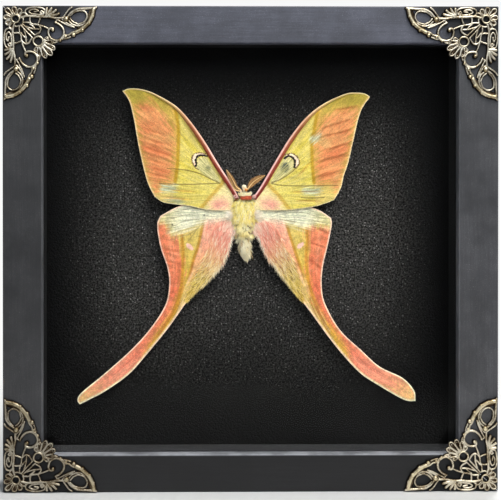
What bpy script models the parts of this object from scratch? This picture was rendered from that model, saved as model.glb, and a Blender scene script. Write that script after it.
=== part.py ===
"""A moon moth specimen in a black shadow-box frame with four brass filigree corners.

Metres, +Z up. The box stands on its bottom edge and faces -Y, with +X to the viewer's right.
The origin is on the resting plane, in the middle of the box's width and depth.
Lengths below are in millimetres and are multiplied by MM where a mesh is made.
"""

import math

import bmesh
import bpy
from mathutils import Vector
from mathutils.geometry import delaunay_2d_cdt

MM = 0.001
GAP = 0.3  # clearance kept between touching pieces

# Frame. A depth is measured from the front face of the wood towards the back.
FRAME_WIDTH = 250.0
FRAME_HEIGHT = 245.0
FRAME_DEPTH = 30.0
STILE_WIDTH = 20.0
RAIL_WIDTH = 19.0
EDGE_ROUND = 0.6
LIP_BEVEL = 0.9
LIP_DEPTH = 6.0
REBATE_SHARE = 0.72  # share of a member's width that is left behind the lip
STAND_OFF = 2.0  # how far the corners and the hanger stand out from the wood

# Layers inside the rebate, front to back.
GLASS_THICKNESS = 2.0
RECESS_DEPTH = 22.0
BOARD_THICKNESS = 2.0
BACKING_THICKNESS = 3.0
TAB_SIZE = (9.0, 11.0, 0.6)
TAB_OFFSET = 55.0

# Sawtooth hanger on the back of the top rail.
HANGER_LENGTH = 44.0
HANGER_HEIGHT = 7.0
HANGER_THICKNESS = 1.0
HANGER_TEETH = 8
HANGER_TOOTH = 1.4
NAIL_HOLE_RADIUS = 1.3
NAIL_RADIUS = 0.9
NAIL_HEAD_RADIUS = 2.0
NAIL_HEAD = 0.4

# Brass corner. Its own axes start at the frame's outer corner: u runs along an arm, v towards the opening.
CORNER_THICKNESS = STAND_OFF - GAP
CORNER_INSET = 0.2
DAISY_CENTRE = 6.3
DAISY_HOLE = 1.4
RING_CENTRE = 17.6
RING_HOLE = 1.7
SHELL_LOBES = 3
SHELL_SPACING = math.radians(20)
SHELL_REACH = 9.7
SHELL_NOTCH = 0.87
CURL_CENTRE = (26.8, 13.2)
CURL_RADIUS = 3.1
ARM_OUTER = [
    (1.0, 0.9), (9, 0.4), (14.5, 0.3), (21.5, 0.6), (27, 1.2), (28.2, 3.2), (30.2, 3.6), (33, 0.5),
    (40, 0.3), (46.4, 0.2),
]
ARM_INNER = [
    (46.4, 0.2), (45, 4.6), (43.3, 8), (40.6, 11), (37.4, 13.2), (36.3, 15.6), (34.6, 15.8),
    (33, 14), (30.5, 15.8), (27.2, 17.8), (25.3, 18.8),
]
LEAF_OPENING = [(33, 5.2), (36, 2.9), (40, 2.4), (41.6, 4.6), (40, 7.6), (36.4, 9), (33.8, 7.4)]
STEM_OPENING = [(18.5, 6.6), (24.5, 7.0), (22.3, 9.6), (18.6, 9.2)]
FAN_OPENING = [(19.0, 11.0), (21.8, 11.6), (22.2, 14.0), (19.0, 13.9)]
TAIL_OPENING = [(31.4, 10.4), (34, 11.2), (32.4, 13), (31.2, 12.6)]

# Moth. Its own axes start in the middle of the thorax: x to the right, z up, height off the board.
MOTH_CENTRE = (-2.2, 137.6)
FOREWING_HEIGHT = 7.4
HINDWING_HEIGHT = 6.3
WING_THICKNESS = 0.5
TIP_RISE = 0.014  # height gained per millimetre out along a forewing
TAIL_DROOP = 0.012  # height lost per millimetre down a hindwing
OUTLINE_STEP = 2.6
SURFACE_STEP = 7.0
FOREWING_LEFT = {
    "costa": [
        (-3.8, 10.8), (-7.5, 18), (-14, 28), (-21, 39.5), (-28.5, 50), (-35.5, 57.5), (-44.5, 63),
        (-52, 66), (-59, 66.7), (-63, 65.4),
    ],
    "margin": [(-63, 65.4), (-59.5, 60), (-57, 50), (-55, 38.5), (-52.5, 27), (-50, 18), (-46.5, 11)],
    "hind": [
        (-46.5, 11), (-42.5, 8.3), (-37, 7.2), (-28.5, 6.2), (-22.5, 4.8), (-16, 3.9), (-6.5, 3.9),
    ],
    "root": [(-6.5, 3.9), (-5.6, 7.5), (-3.8, 10.8)],
}
FOREWING_RIGHT = {
    "costa": [
        (4.8, 10.8), (8.5, 16.5), (15.5, 28.5), (23.5, 41.5), (32, 52), (41, 59), (52, 64),
        (58, 64.6), (62, 64), (64.5, 62.5),
    ],
    "margin": [
        (64.5, 62.5), (60.5, 56.5), (58, 49), (55.5, 38), (53.5, 29), (51, 21.5), (49.5, 15.5),
        (46, 9.3),
    ],
    "hind": [(46, 9.3), (41.5, 7.5), (36.5, 6), (29, 4.8), (22.5, 4), (14, 3.8), (6.6, 4)],
    "root": [(6.6, 4), (5.8, 7.5), (4.8, 10.8)],
}
HINDWING_LEFT = {
    "costa": [(-6, 9), (-13, 10.5), (-22, 10), (-29, 8), (-36.5, 5), (-43.7, 1)],
    "margin": [
        (-43.7, 1), (-45.2, -4), (-43.5, -15), (-40, -25.5), (-39, -34), (-41, -45), (-49, -57.5),
        (-59, -68.5), (-72.5, -80.5), (-84, -90), (-86.4, -94), (-85.2, -96.4),
    ],
    "inner": [
        (-85.2, -96.4), (-79.5, -93.5), (-72, -89.5), (-60, -81), (-50.5, -70.5), (-39.5, -57),
        (-28, -41), (-19.5, -32.5), (-12.5, -24.5), (-9, -17), (-7, -8), (-6.2, -3), (-6, 3),
    ],
    "root": [(-6, 3), (-6, 9)],
}
HINDWING_RIGHT = {
    "costa": [(6, 9), (13, 10), (22, 9), (28.5, 7.5), (38.5, 4), (44.7, 0)],
    "margin": [
        (44.7, 0), (45, -4), (43, -14.5), (40.5, -25.5), (40, -36), (42, -45), (49.5, -58),
        (60.5, -68.5), (70, -77), (82, -83), (88, -89.5), (88.8, -95),
    ],
    "inner": [
        (88.8, -95), (85, -95), (80, -93), (69, -86.5), (60, -80.5), (51, -71), (43, -61),
        (33.5, -48), (23, -34.5), (16, -25), (12, -19.5), (9.5, -14), (7, -8), (6.3, -2.5), (6, 3),
    ],
    "root": [(6, 3), (6, 9)],
}
# Each body section: z, middle x, half width, middle height, half depth.
BODY_SECTIONS = [
    (12.0, 0.5, 1.0, 6.2, 1.2),
    (11.6, 0.5, 2.3, 6.0, 2.6),
    (10.0, 0.4, 3.3, 5.6, 4.0),
    (7.5, 0.1, 4.6, 5.3, 4.8),
    (3.0, 0.0, 5.0, 5.3, 5.0),
    (-2.0, 0.0, 5.0, 5.2, 4.9),
    (-7.0, 0.0, 4.8, 5.0, 4.6),
    (-10.0, 0.2, 4.2, 4.6, 4.0),
    (-14.0, 0.5, 3.6, 4.2, 3.5),
    (-18.5, 0.7, 3.3, 3.8, 3.1),
    (-21.5, 1.0, 2.5, 3.6, 2.3),
    (-24.0, 1.4, 0.9, 3.5, 0.9),
]
BODY_SIDES = 16
HEAD_CENTRE = (0.4, 14.9, 7.4)
HEAD_RADII = (2.0, 2.2, 2.1)
ANTENNA_HEIGHT = 9.3
ANTENNA_THICKNESS = 0.6
ANTENNA_END_SHARE = 0.12
ANTENNA_LEFT = {"base": (-1.9, 15.2), "tip": (-9.4, 24.9), "half_width": 2.0}
ANTENNA_RIGHT = {"base": (2.4, 15.4), "tip": (10.4, 21.6), "half_width": 2.1}

FRONT_Y = -FRAME_DEPTH / 2
BOARD_Y = FRONT_Y + RECESS_DEPTH


def clear_scene():
    for item in list(bpy.data.objects):
        bpy.data.objects.remove(item, do_unlink=True)


def material(name, colour, roughness, metallic=0.0, transmission=0.0):
    made = bpy.data.materials.new(name)
    made.use_nodes = True
    shader = made.node_tree.nodes["Principled BSDF"]
    shader.inputs["Base Color"].default_value = (*colour, 1.0)
    shader.inputs["Roughness"].default_value = roughness
    shader.inputs["Metallic"].default_value = metallic
    shader.inputs["Transmission Weight"].default_value = transmission
    return made


def add_object(name, bm, finish, smooth=False):
    """Closes the bmesh into a named object, in metres, with its faces turned outwards."""
    bmesh.ops.recalc_face_normals(bm, faces=bm.faces)
    bmesh.ops.scale(bm, vec=(MM, MM, MM), verts=bm.verts)
    mesh = bpy.data.meshes.new(name)
    bm.to_mesh(mesh)
    bm.free()
    if smooth:
        mesh.shade_smooth()
        mesh.set_sharp_from_angle(angle=math.radians(40))
    mesh.materials.append(finish)
    made = bpy.data.objects.new(name, mesh)
    bpy.context.scene.collection.objects.link(made)
    return made


def add_box(name, low, high, finish):
    bm = bmesh.new()
    bmesh.ops.create_cube(bm, size=1.0)
    low = Vector(low)
    high = Vector(high)
    for vert in bm.verts:
        share = vert.co + Vector((0.5, 0.5, 0.5))
        vert.co = Vector(a + (b - a) * s for a, b, s in zip(low, high, share))
    return add_object(name, bm, finish)


def bridge(bm, rings):
    """Joins a run of vertex rings with quads and caps both ends."""
    count = len(rings[0])
    for ring, following in zip(rings, rings[1:]):
        for i in range(count):
            j = (i + 1) % count
            bm.faces.new((ring[i], ring[j], following[j], following[i]))
    bm.faces.new(rings[0])
    bm.faces.new(rings[-1])


def smooth_path(points, step):
    """Points about a step apart on a Catmull-Rom curve through an open run of points."""
    points = [Vector(p) for p in points]
    first = points[0] * 2 - points[1]
    last = points[-1] * 2 - points[-2]
    padded = [first, *points, last]
    path = []
    for a, b, c, d in zip(padded, padded[1:], padded[2:], padded[3:]):
        count = max(1, round((c - b).length / step))
        for i in range(count):
            t = i / count
            bend = 2 * a - 5 * b + 4 * c - d
            twist = 3 * b - a - 3 * c + d
            path.append(b + 0.5 * ((c - a) * t + bend * t**2 + twist * t**3))
    path.append(points[-1])
    return path


def closed_outline(runs, step):
    """One closed loop from smooth runs that meet at sharp corners."""
    loop = []
    for run in runs:
        loop += smooth_path(run, step)[:-1]
    return loop


def spot_at(centre, radius, angle):
    return Vector((centre[0] + radius * math.cos(angle), centre[1] + radius * math.sin(angle)))


def circle(centre, radius, sides):
    turn = 2 * math.pi / sides
    return [spot_at(centre, radius, i * turn) for i in range(sides)]


def inside(point, loops):
    """Even-odd test against all loops together, so a loop inside another is a hole."""
    odd = False
    for loop in loops:
        for a, b in zip(loop, loop[1:] + loop[:1]):
            if (a.y > point.y) != (b.y > point.y):
                if point.x < a.x + (point.y - a.y) * (b.x - a.x) / (b.y - a.y):
                    odd = not odd
    return odd


def clear_of(point, loops, distance):
    return all((point - p).length > distance for loop in loops for p in loop)


def sheet_triangles(loops, step):
    """Points and triangles that fill an outline, less its holes, with inner points a step apart."""
    points = [p for loop in loops for p in loop]
    edges = []
    for loop in loops:
        start = len(edges)
        edges += [(start + i, start + (i + 1) % len(loop)) for i in range(len(loop))]
    if step:
        low = [min(p[k] for p in points) for k in (0, 1)]
        high = [max(p[k] for p in points) for k in (0, 1)]
        for i in range(int((high[0] - low[0]) / step) + 1):
            for j in range(int((high[1] - low[1]) / step) + 1):
                spot = Vector((low[0] + (i + 0.5) * step, low[1] + (j + 0.5) * step))
                if inside(spot, loops) and clear_of(spot, loops, step * 0.45):
                    points.append(spot)
    found, _, faces, _, _, _ = delaunay_2d_cdt(points, edges, [], 0, 1e-6)
    kept = [f for f in faces if inside(sum((found[i] for i in f), Vector((0, 0))) / 3, loops)]
    return found, kept


def plate(name, loops, front, back, finish, step=0.0, smooth=False):
    """A closed plate whose two faces are the outline carried to 3-D by front and back."""
    points, triangles = sheet_triangles(loops, step)
    bm = bmesh.new()
    tops = [bm.verts.new(front(p)) for p in points]
    bottoms = [bm.verts.new(back(p)) for p in points]
    for a, b, c in triangles:
        bm.faces.new((tops[a], tops[b], tops[c]))
        bm.faces.new((bottoms[c], bottoms[b], bottoms[a]))
    used = {}
    for a, b, c in triangles:
        for edge in ((a, b), (b, c), (c, a)):
            key = tuple(sorted(edge))
            used[key] = used.get(key, 0) + 1
    for (a, b), count in used.items():
        if count == 1:
            bm.faces.new((tops[a], tops[b], bottoms[b], bottoms[a]))
    return add_object(name, bm, finish, smooth)


def member_profile():
    """A frame member's section: share of its width from the outer edge, and depth from the front."""
    edge = EDGE_ROUND / RAIL_WIDTH
    bevel = LIP_BEVEL / RAIL_WIDTH
    return [
        (0.0, EDGE_ROUND),
        (edge * 0.3, EDGE_ROUND * 0.3),
        (edge, 0.0),
        (1 - bevel, 0.0),
        (1 - bevel * 0.3, LIP_BEVEL * 0.3),
        (1.0, LIP_BEVEL),
        (1.0, LIP_DEPTH),
        (REBATE_SHARE, LIP_DEPTH),
        (REBATE_SHARE, FRAME_DEPTH),
        (edge, FRAME_DEPTH),
        (0.0, FRAME_DEPTH - EDGE_ROUND),
    ]


def add_member(name, length, own_width, other_width, place, finish):
    """A mitred member. place turns (along, across from the outer edge, depth) into a point."""
    bm = bmesh.new()
    rings = []
    for side in (-1, 1):
        ring = []
        for share, depth in member_profile():
            along = side * (length / 2 - share * other_width - GAP / 2)
            ring.append(bm.verts.new(place(along, share * own_width, depth)))
        rings.append(ring)
    bridge(bm, rings)
    return add_object(name, bm, finish)


def add_frame(finish):
    """Top and bottom rails, then left and right stiles, mitred where they meet."""

    def top(along, across, depth):
        return Vector((along, FRONT_Y + depth, FRAME_HEIGHT - across))

    def bottom(along, across, depth):
        return Vector((along, FRONT_Y + depth, across))

    def left(along, across, depth):
        return Vector((across - FRAME_WIDTH / 2, FRONT_Y + depth, FRAME_HEIGHT / 2 + along))

    def right(along, across, depth):
        return Vector((FRAME_WIDTH / 2 - across, FRONT_Y + depth, FRAME_HEIGHT / 2 + along))

    add_member("frame_top_rail", FRAME_WIDTH, RAIL_WIDTH, STILE_WIDTH, top, finish)
    add_member("frame_bottom_rail", FRAME_WIDTH, RAIL_WIDTH, STILE_WIDTH, bottom, finish)
    add_member("frame_left_stile", FRAME_HEIGHT, STILE_WIDTH, RAIL_WIDTH, left, finish)
    add_member("frame_right_stile", FRAME_HEIGHT, STILE_WIDTH, RAIL_WIDTH, right, finish)


def rebate():
    """Half width, lowest and highest z of the space behind the lip."""
    side = FRAME_WIDTH / 2 - STILE_WIDTH * REBATE_SHARE - GAP
    end = RAIL_WIDTH * REBATE_SHARE + GAP
    return side, end, FRAME_HEIGHT - end


def add_layer(name, start, thickness, finish):
    """A sheet that fills the rebate from one depth on."""
    side, low, high = rebate()
    return add_box(name, (-side, FRONT_Y + start, low), (side, FRONT_Y + start + thickness, high), finish)


def add_linings(finish):
    """Four strips that keep the glass and the board apart, flush with the lip's inner wall."""
    side, low, high = rebate()
    front = FRONT_Y + LIP_DEPTH + GLASS_THICKNESS + 2 * GAP
    back = BOARD_Y - GAP
    inner = FRAME_WIDTH / 2 - STILE_WIDTH
    add_box("lining_bottom", (-side, front, low), (side, back, RAIL_WIDTH), finish)
    add_box("lining_top", (-side, front, FRAME_HEIGHT - RAIL_WIDTH), (side, back, high), finish)
    low = RAIL_WIDTH + GAP
    high = FRAME_HEIGHT - RAIL_WIDTH - GAP
    add_box("lining_left", (-side, front, low), (-inner, back, high), finish)
    add_box("lining_right", (inner, front, low), (side, back, high), finish)


def add_tabs(finish):
    """Flat steel points that hold the backing in, two along each side."""
    side, low, high = rebate()
    reach, width, thickness = TAB_SIZE
    y = BOARD_Y + BOARD_THICKNESS + BACKING_THICKNESS + 2 * GAP
    middle = FRAME_HEIGHT / 2
    for i, offset in enumerate((-TAB_OFFSET, TAB_OFFSET)):
        ends = (offset - width / 2, offset + width / 2)
        boxes = {
            "bottom": ((ends[0], low), (ends[1], low + reach)),
            "top": ((ends[0], high - reach), (ends[1], high)),
            "left": ((-side, middle + ends[0]), (-side + reach, middle + ends[1])),
            "right": ((side - reach, middle + ends[0]), (side, middle + ends[1])),
        }
        for edge, (a, b) in boxes.items():
            add_box(f"tab_{edge}_{i + 1}", (a[0], y, a[1]), (b[0], y + thickness, b[1]), finish)


def add_hanger(finish):
    """A strip with saw teeth along its lower edge, held by two round-headed nails."""
    y = FRAME_DEPTH / 2 + GAP
    middle = FRAME_HEIGHT - RAIL_WIDTH * REBATE_SHARE / 2
    top = middle + HANGER_HEIGHT / 2
    bottom = middle - HANGER_HEIGHT / 2
    half = HANGER_LENGTH / 2
    toothed = half - 8.0
    pitch = 2 * toothed / HANGER_TEETH
    outline = [Vector((-half, top)), Vector((-half, bottom)), Vector((-toothed, bottom))]
    for i in range(HANGER_TEETH):
        outline.append(Vector((-toothed + (i + 0.5) * pitch, bottom + HANGER_TOOTH)))
        outline.append(Vector((-toothed + (i + 1) * pitch, bottom)))
    outline += [Vector((half, bottom)), Vector((half, top))]
    nails = [(-half + 4.0, middle), (half - 4.0, middle)]
    holes = [circle(spot, NAIL_HOLE_RADIUS, 12) for spot in nails]
    plate(
        "sawtooth_hanger",
        [outline, *holes],
        lambda p: Vector((p.x, y, p.y)),
        lambda p: Vector((p.x, y + HANGER_THICKNESS, p.y)),
        finish,
    )
    for name, spot in zip(("hanger_nail_left", "hanger_nail_right"), nails):
        add_nail(name, spot, y, y + HANGER_THICKNESS + GAP, finish)


def add_nail(name, spot, shank_y, head_y, finish):
    bm = bmesh.new()
    stops = (
        (NAIL_RADIUS, shank_y),
        (NAIL_RADIUS, head_y),
        (NAIL_HEAD_RADIUS, head_y),
        (NAIL_HEAD_RADIUS * 0.7, head_y + NAIL_HEAD),
    )
    rings = [[bm.verts.new((p.x, y, p.y)) for p in circle(spot, radius, 12)] for radius, y in stops]
    bridge(bm, rings)
    return add_object(name, bm, finish)


def swapped(points):
    return [(v, u) for u, v in points]


def shell_outline():
    """Scalloped edge of the shell, turning from one arm to the other across the diagonal."""
    points = []
    for i in range(SHELL_LOBES):
        turn = (i - (SHELL_LOBES - 1) / 2) * SHELL_SPACING
        for shift, share in ((-0.5, SHELL_NOTCH), (-0.3, 1.0), (0.0, 1.02), (0.3, 1.0)):
            spot = turn + shift * SHELL_SPACING
            reach = SHELL_REACH * math.cos(spot) * share
            points.append(spot_at((RING_CENTRE, RING_CENTRE), reach, math.pi / 4 + spot))
    first = points[0]
    return points + [Vector((first.y, first.x))]


def corner_loops():
    """Outline and openings of one pierced corner, symmetric about its diagonal."""
    arm = closed_outline([ARM_OUTER, ARM_INNER], 2.4)
    other = [Vector((p.y, p.x)) for p in reversed(arm)]
    outline = arm + shell_outline() + other[1:]
    loops = [outline]
    loops.append(circle((DAISY_CENTRE, DAISY_CENTRE), DAISY_HOLE, 8))
    loops.append(circle((RING_CENTRE, RING_CENTRE), RING_HOLE, 10))
    for u, v in (CURL_CENTRE, CURL_CENTRE[::-1]):
        loops.append(circle((u, v), CURL_RADIUS, 10))
    for shape in (LEAF_OPENING, STEM_OPENING, FAN_OPENING, TAIL_OPENING):
        loops.append([Vector(p) for p in shape])
        loops.append([Vector(p) for p in swapped(shape)])
    return loops


def add_corners(finish):
    loops = corner_loops()
    back = FRONT_Y - GAP
    for vertical, up in (("top", 1), ("bottom", -1)):
        for lateral, side in (("left", -1), ("right", 1)):

            def place(p, y, up=up, side=side):
                x = side * (FRAME_WIDTH / 2 - CORNER_INSET - p.x)
                z = CORNER_INSET + p.y
                return Vector((x, y, FRAME_HEIGHT - z if up > 0 else z))

            plate(
                f"corner_{vertical}_{lateral}",
                loops,
                lambda p, place=place: place(p, back - CORNER_THICKNESS),
                lambda p, place=place: place(p, back),
                finish,
            )


def on_board(x, z, height):
    """A point in the moth's own axes, at a height off the board, in the frame's axes."""
    return Vector((MOTH_CENTRE[0] + x, BOARD_Y - height, MOTH_CENTRE[1] + z))


def add_wing(name, outline, surface, finish):
    loop = closed_outline(outline.values(), OUTLINE_STEP)
    half = WING_THICKNESS / 2
    return plate(
        name,
        [loop],
        lambda p: on_board(p.x, p.y, surface(p) + half),
        lambda p: on_board(p.x, p.y, surface(p) - half),
        finish,
        SURFACE_STEP,
        smooth=True,
    )


def add_wings(finish):
    def forewing(p):
        return FOREWING_HEIGHT + TIP_RISE * abs(p.x)

    def hindwing(p):
        return HINDWING_HEIGHT + TAIL_DROOP * min(0.0, p.y)

    add_wing("forewing_left", FOREWING_LEFT, forewing, finish)
    add_wing("forewing_right", FOREWING_RIGHT, forewing, finish)
    add_wing("hindwing_left", HINDWING_LEFT, hindwing, finish)
    add_wing("hindwing_right", HINDWING_RIGHT, hindwing, finish)


def add_body(finish):
    """Thorax and abdomen, one furry form that tapers to a tufted tip."""
    bm = bmesh.new()
    rings = []
    turn = 2 * math.pi / BODY_SIDES
    for z, x, half_width, height, half_depth in BODY_SECTIONS:
        ring = []
        for i in range(BODY_SIDES):
            across = x + half_width * math.cos(i * turn)
            lift = height + half_depth * math.sin(i * turn)
            ring.append(bm.verts.new(on_board(across, z, lift)))
        rings.append(ring)
    bridge(bm, rings)
    return add_object("body", bm, finish, smooth=True)


def add_head(finish):
    bm = bmesh.new()
    bmesh.ops.create_uvsphere(bm, u_segments=16, v_segments=10, radius=1.0)
    x, z, height = HEAD_CENTRE
    for vert in bm.verts:
        u, v, w = vert.co
        vert.co = on_board(x + u * HEAD_RADII[0], z + v * HEAD_RADII[1], height + w * HEAD_RADII[2])
    return add_object("head", bm, finish, smooth=True)


def add_antenna(name, base, tip, half_width, finish):
    """A feathered antenna as one thin leaf from base to tip."""
    base = Vector(base)
    axis = Vector(tip) - base
    across = Vector((-axis.y, axis.x)).normalized()
    sides = ([], [])
    stops = 9
    for i in range(stops + 1):
        t = i / stops
        fullness = max(0.0, math.sin(math.pi * t**0.8)) ** 0.8
        width = half_width * (ANTENNA_END_SHARE + (1 - ANTENNA_END_SHARE) * fullness)
        sides[0].append(base + axis * t + across * width)
        sides[1].append(base + axis * t - across * width)
    loop = sides[0] + sides[1][::-1]
    return plate(
        name,
        [loop],
        lambda p: on_board(p.x, p.y, ANTENNA_HEIGHT + ANTENNA_THICKNESS),
        lambda p: on_board(p.x, p.y, ANTENNA_HEIGHT),
        finish,
        smooth=True,
    )


def build():
    clear_scene()
    black_wood = material("black_wood", (0.045, 0.045, 0.05), 0.45)
    glass = material("glass", (0.95, 0.97, 0.97), 0.03, transmission=1.0)
    black_paper = material("black_paper", (0.02, 0.02, 0.02), 0.85)
    backing = material("backing_board", (0.16, 0.12, 0.08), 0.8)
    steel = material("steel", (0.55, 0.55, 0.56), 0.4, metallic=1.0)
    brass = material("antique_brass", (0.45, 0.36, 0.2), 0.4, metallic=1.0)
    wing = material("wing_scales", (0.8, 0.55, 0.2), 0.7)
    fur = material("moth_fur", (0.8, 0.7, 0.4), 0.9)
    feather = material("antenna_feather", (0.45, 0.25, 0.08), 0.7)

    add_frame(black_wood)
    add_layer("glass_pane", LIP_DEPTH + GAP, GLASS_THICKNESS, glass)
    add_linings(black_wood)
    add_layer("background_board", RECESS_DEPTH, BOARD_THICKNESS, black_paper)
    add_layer("backing_board", RECESS_DEPTH + BOARD_THICKNESS + GAP, BACKING_THICKNESS, backing)
    add_tabs(steel)
    add_hanger(steel)
    add_corners(brass)
    add_wings(wing)
    add_body(fur)
    add_head(fur)
    add_antenna("antenna_left", **ANTENNA_LEFT, finish=feather)
    add_antenna("antenna_right", **ANTENNA_RIGHT, finish=feather)


build()
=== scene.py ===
"""Looks of the framed moth: finishes, brass relief, wings, down, floor, lights and camera."""

import math

import bmesh
import bpy
import numpy as np
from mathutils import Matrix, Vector
from mathutils.geometry import delaunay_2d_cdt
from mathutils.kdtree import KDTree


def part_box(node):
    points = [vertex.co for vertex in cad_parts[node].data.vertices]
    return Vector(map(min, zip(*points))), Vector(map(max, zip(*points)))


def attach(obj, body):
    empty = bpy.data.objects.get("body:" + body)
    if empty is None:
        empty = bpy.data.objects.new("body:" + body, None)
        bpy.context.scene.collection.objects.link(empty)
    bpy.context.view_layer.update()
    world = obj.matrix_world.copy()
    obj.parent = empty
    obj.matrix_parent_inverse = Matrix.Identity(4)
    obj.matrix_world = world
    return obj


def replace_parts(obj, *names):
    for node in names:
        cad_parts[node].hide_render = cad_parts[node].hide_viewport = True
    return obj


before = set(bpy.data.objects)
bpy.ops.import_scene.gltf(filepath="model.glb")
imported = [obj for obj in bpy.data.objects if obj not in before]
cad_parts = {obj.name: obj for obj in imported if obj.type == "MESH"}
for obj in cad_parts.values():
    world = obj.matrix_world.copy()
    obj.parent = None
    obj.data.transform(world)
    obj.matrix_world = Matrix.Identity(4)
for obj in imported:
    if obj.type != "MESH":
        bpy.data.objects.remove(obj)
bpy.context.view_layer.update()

MM = 0.001
SIDES = ("left", "right")

# ---------------------------------------------------------------- places from the frame
TOP_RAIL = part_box("frame_top_rail")
BOTTOM_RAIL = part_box("frame_bottom_rail")
LEFT_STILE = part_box("frame_left_stile")
RIGHT_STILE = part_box("frame_right_stile")
FRAME_LOW = Vector((LEFT_STILE[0][0], LEFT_STILE[0][1], BOTTOM_RAIL[0][2]))
FRAME_HIGH = Vector((RIGHT_STILE[1][0], RIGHT_STILE[1][1], TOP_RAIL[1][2]))
OPENING_LOW = Vector((LEFT_STILE[1][0], 0.0, BOTTOM_RAIL[1][2]))
OPENING_HIGH = Vector((RIGHT_STILE[0][0], 0.0, TOP_RAIL[0][2]))
FRONT_Y = FRAME_LOW.y
BOARD_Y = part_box("background_board")[0][1]


# ---------------------------------------------------------------- colour and node helpers
def linear(code):
    """Linear colour from a paint chart's #rrggbb code."""
    shares = [int(code[i : i + 2], 16) / 255 for i in (1, 3, 5)]
    return tuple(s / 12.92 if s <= 0.04045 else ((s + 0.055) / 1.055) ** 2.4 for s in shares)


class Value:
    """One output of a node. Arithmetic on it adds Math nodes."""

    def __init__(self, finish, socket):
        self.finish = finish
        self.socket = socket

    def __add__(self, other):
        return self.finish.math("ADD", self, other)

    def __sub__(self, other):
        return self.finish.math("SUBTRACT", self, other)

    def __rsub__(self, other):
        return self.finish.math("SUBTRACT", other, self)

    def __mul__(self, other):
        return self.finish.math("MULTIPLY", self, other)

    def __truediv__(self, other):
        return self.finish.math("DIVIDE", self, other)

    def __pow__(self, other):
        return self.finish.math("POWER", self, other)

    def __abs__(self):
        return self.finish.math("ABSOLUTE", self)


class Finish:
    """A Principled material, with short calls for the nodes that drive it.

    A colour is a Value, a #rrggbb code or a linear tuple. Places are in millimetres."""

    def __init__(self, name, **fixed):
        self.material = bpy.data.materials.new(name)
        self.material.use_nodes = True
        self.nodes = self.material.node_tree.nodes
        self.links = self.material.node_tree.links
        self.shader = self.nodes["Principled BSDF"]
        self.drive(**fixed)

    def drive(self, **inputs):
        """Links or sets the shader's own sockets, and gives the material."""
        for name, value in inputs.items():
            self.set(self.shader.inputs[name.replace("_", " ")], value)
        return self.material

    def set(self, socket, value):
        """Links a socket, or sets the value that it has by itself."""
        value = linear(value) if isinstance(value, str) else value
        if isinstance(value, Value):
            self.links.new(value.socket, socket)
        elif isinstance(value, tuple) and socket.type == "RGBA":
            socket.default_value = (*value, 1.0)
        else:
            socket.default_value = value

    def node(self, kind, inputs, **options):
        node = self.nodes.new("ShaderNode" + kind)
        for option, value in options.items():
            setattr(node, option, value)
        for name, value in inputs.items():
            self.set(node.inputs[name], value)
        return node

    def add(self, kind, inputs, output=0, **options):
        """A new node's output."""
        return Value(self, self.node(kind, inputs, **options).outputs[output])

    def clear_where(self, share):
        """Lets light straight through where share is 1."""
        solid = Value(self, self.shader.outputs[0])
        both = self.add("MixShader", {0: share, 1: solid, 2: self.add("BsdfTransparent", {})})
        self.set(self.nodes["Material Output"].inputs["Surface"], both)

    def place(self, stretch=(1, 1, 1), turn=(0, 0, 0)):
        """The piece's own coordinates, squeezed along each axis and turned."""
        where = self.add("TexCoord", {}, "Object")
        scale = tuple(1000 * s for s in stretch)
        return self.add("Mapping", {"Vector": where, "Scale": scale, "Rotation": turn})

    def axis(self, name, vector=None):
        return self.add("SeparateXYZ", {"Vector": vector or self.place()}, name)

    def field(self, name):
        return self.add("Attribute", {}, "Fac", attribute_name=name)

    def math(self, operation, a, b=0.0):
        return self.add("Math", {0: a, 1: b}, operation=operation)

    def combine(self, x, y, z=0.0):
        return self.add("CombineXYZ", {0: x, 1: y, 2: z})

    def band(self, value, low, high, start=0.0, end=1.0):
        """A soft step from start to end as a value or a named field goes from low to high."""
        value = self.field(value) if isinstance(value, str) else value
        inputs = {"Value": value, "From Min": low, "From Max": high, "To Min": start, "To Max": end}
        return self.add("MapRange", inputs, "Result", interpolation_type="SMOOTHSTEP")

    def noise(self, scale, detail=3.0, roughness=0.5, distortion=0.0, where=None):
        inputs = {"Vector": where or self.place(), "Scale": scale, "Detail": detail}
        inputs |= {"Roughness": roughness, "Distortion": distortion}
        return self.add("TexNoise", inputs, "Fac")

    def cells(self, scale, output="Distance"):
        return self.add("TexVoronoi", {"Vector": self.place(), "Scale": scale}, output)

    def mix(self, share, a, b, blend="MIX"):
        return self.add("Mix", {0: share, 6: a, 7: b}, 2, data_type="RGBA", blend_type=blend)

    def coats(self, colour, *coats):
        """Lays colours over one another, each where its mask says."""
        for mask, tone in coats:
            colour = self.mix(mask, colour, tone)
        return colour

    def scaled(self, colour, gain):
        """A colour made lighter or darker by a number."""
        return self.mix(1.0, colour, self.combine(gain, gain, gain), "MULTIPLY")

    def ramp(self, value, stops):
        node = self.node("ValToRGB", {"Fac": value})
        entries = node.color_ramp.elements
        while len(entries) < len(stops):
            entries.new(0.5)
        for entry, (position, code) in zip(entries, stops):
            entry.position = position
            entry.color = (*linear(code), 1.0)
        return Value(self, node.outputs["Color"])

    def bump(self, height, distance, strength=1.0):
        inputs = {"Height": height, "Distance": distance * MM, "Strength": strength}
        return self.add("Bump", inputs, "Normal")


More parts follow.
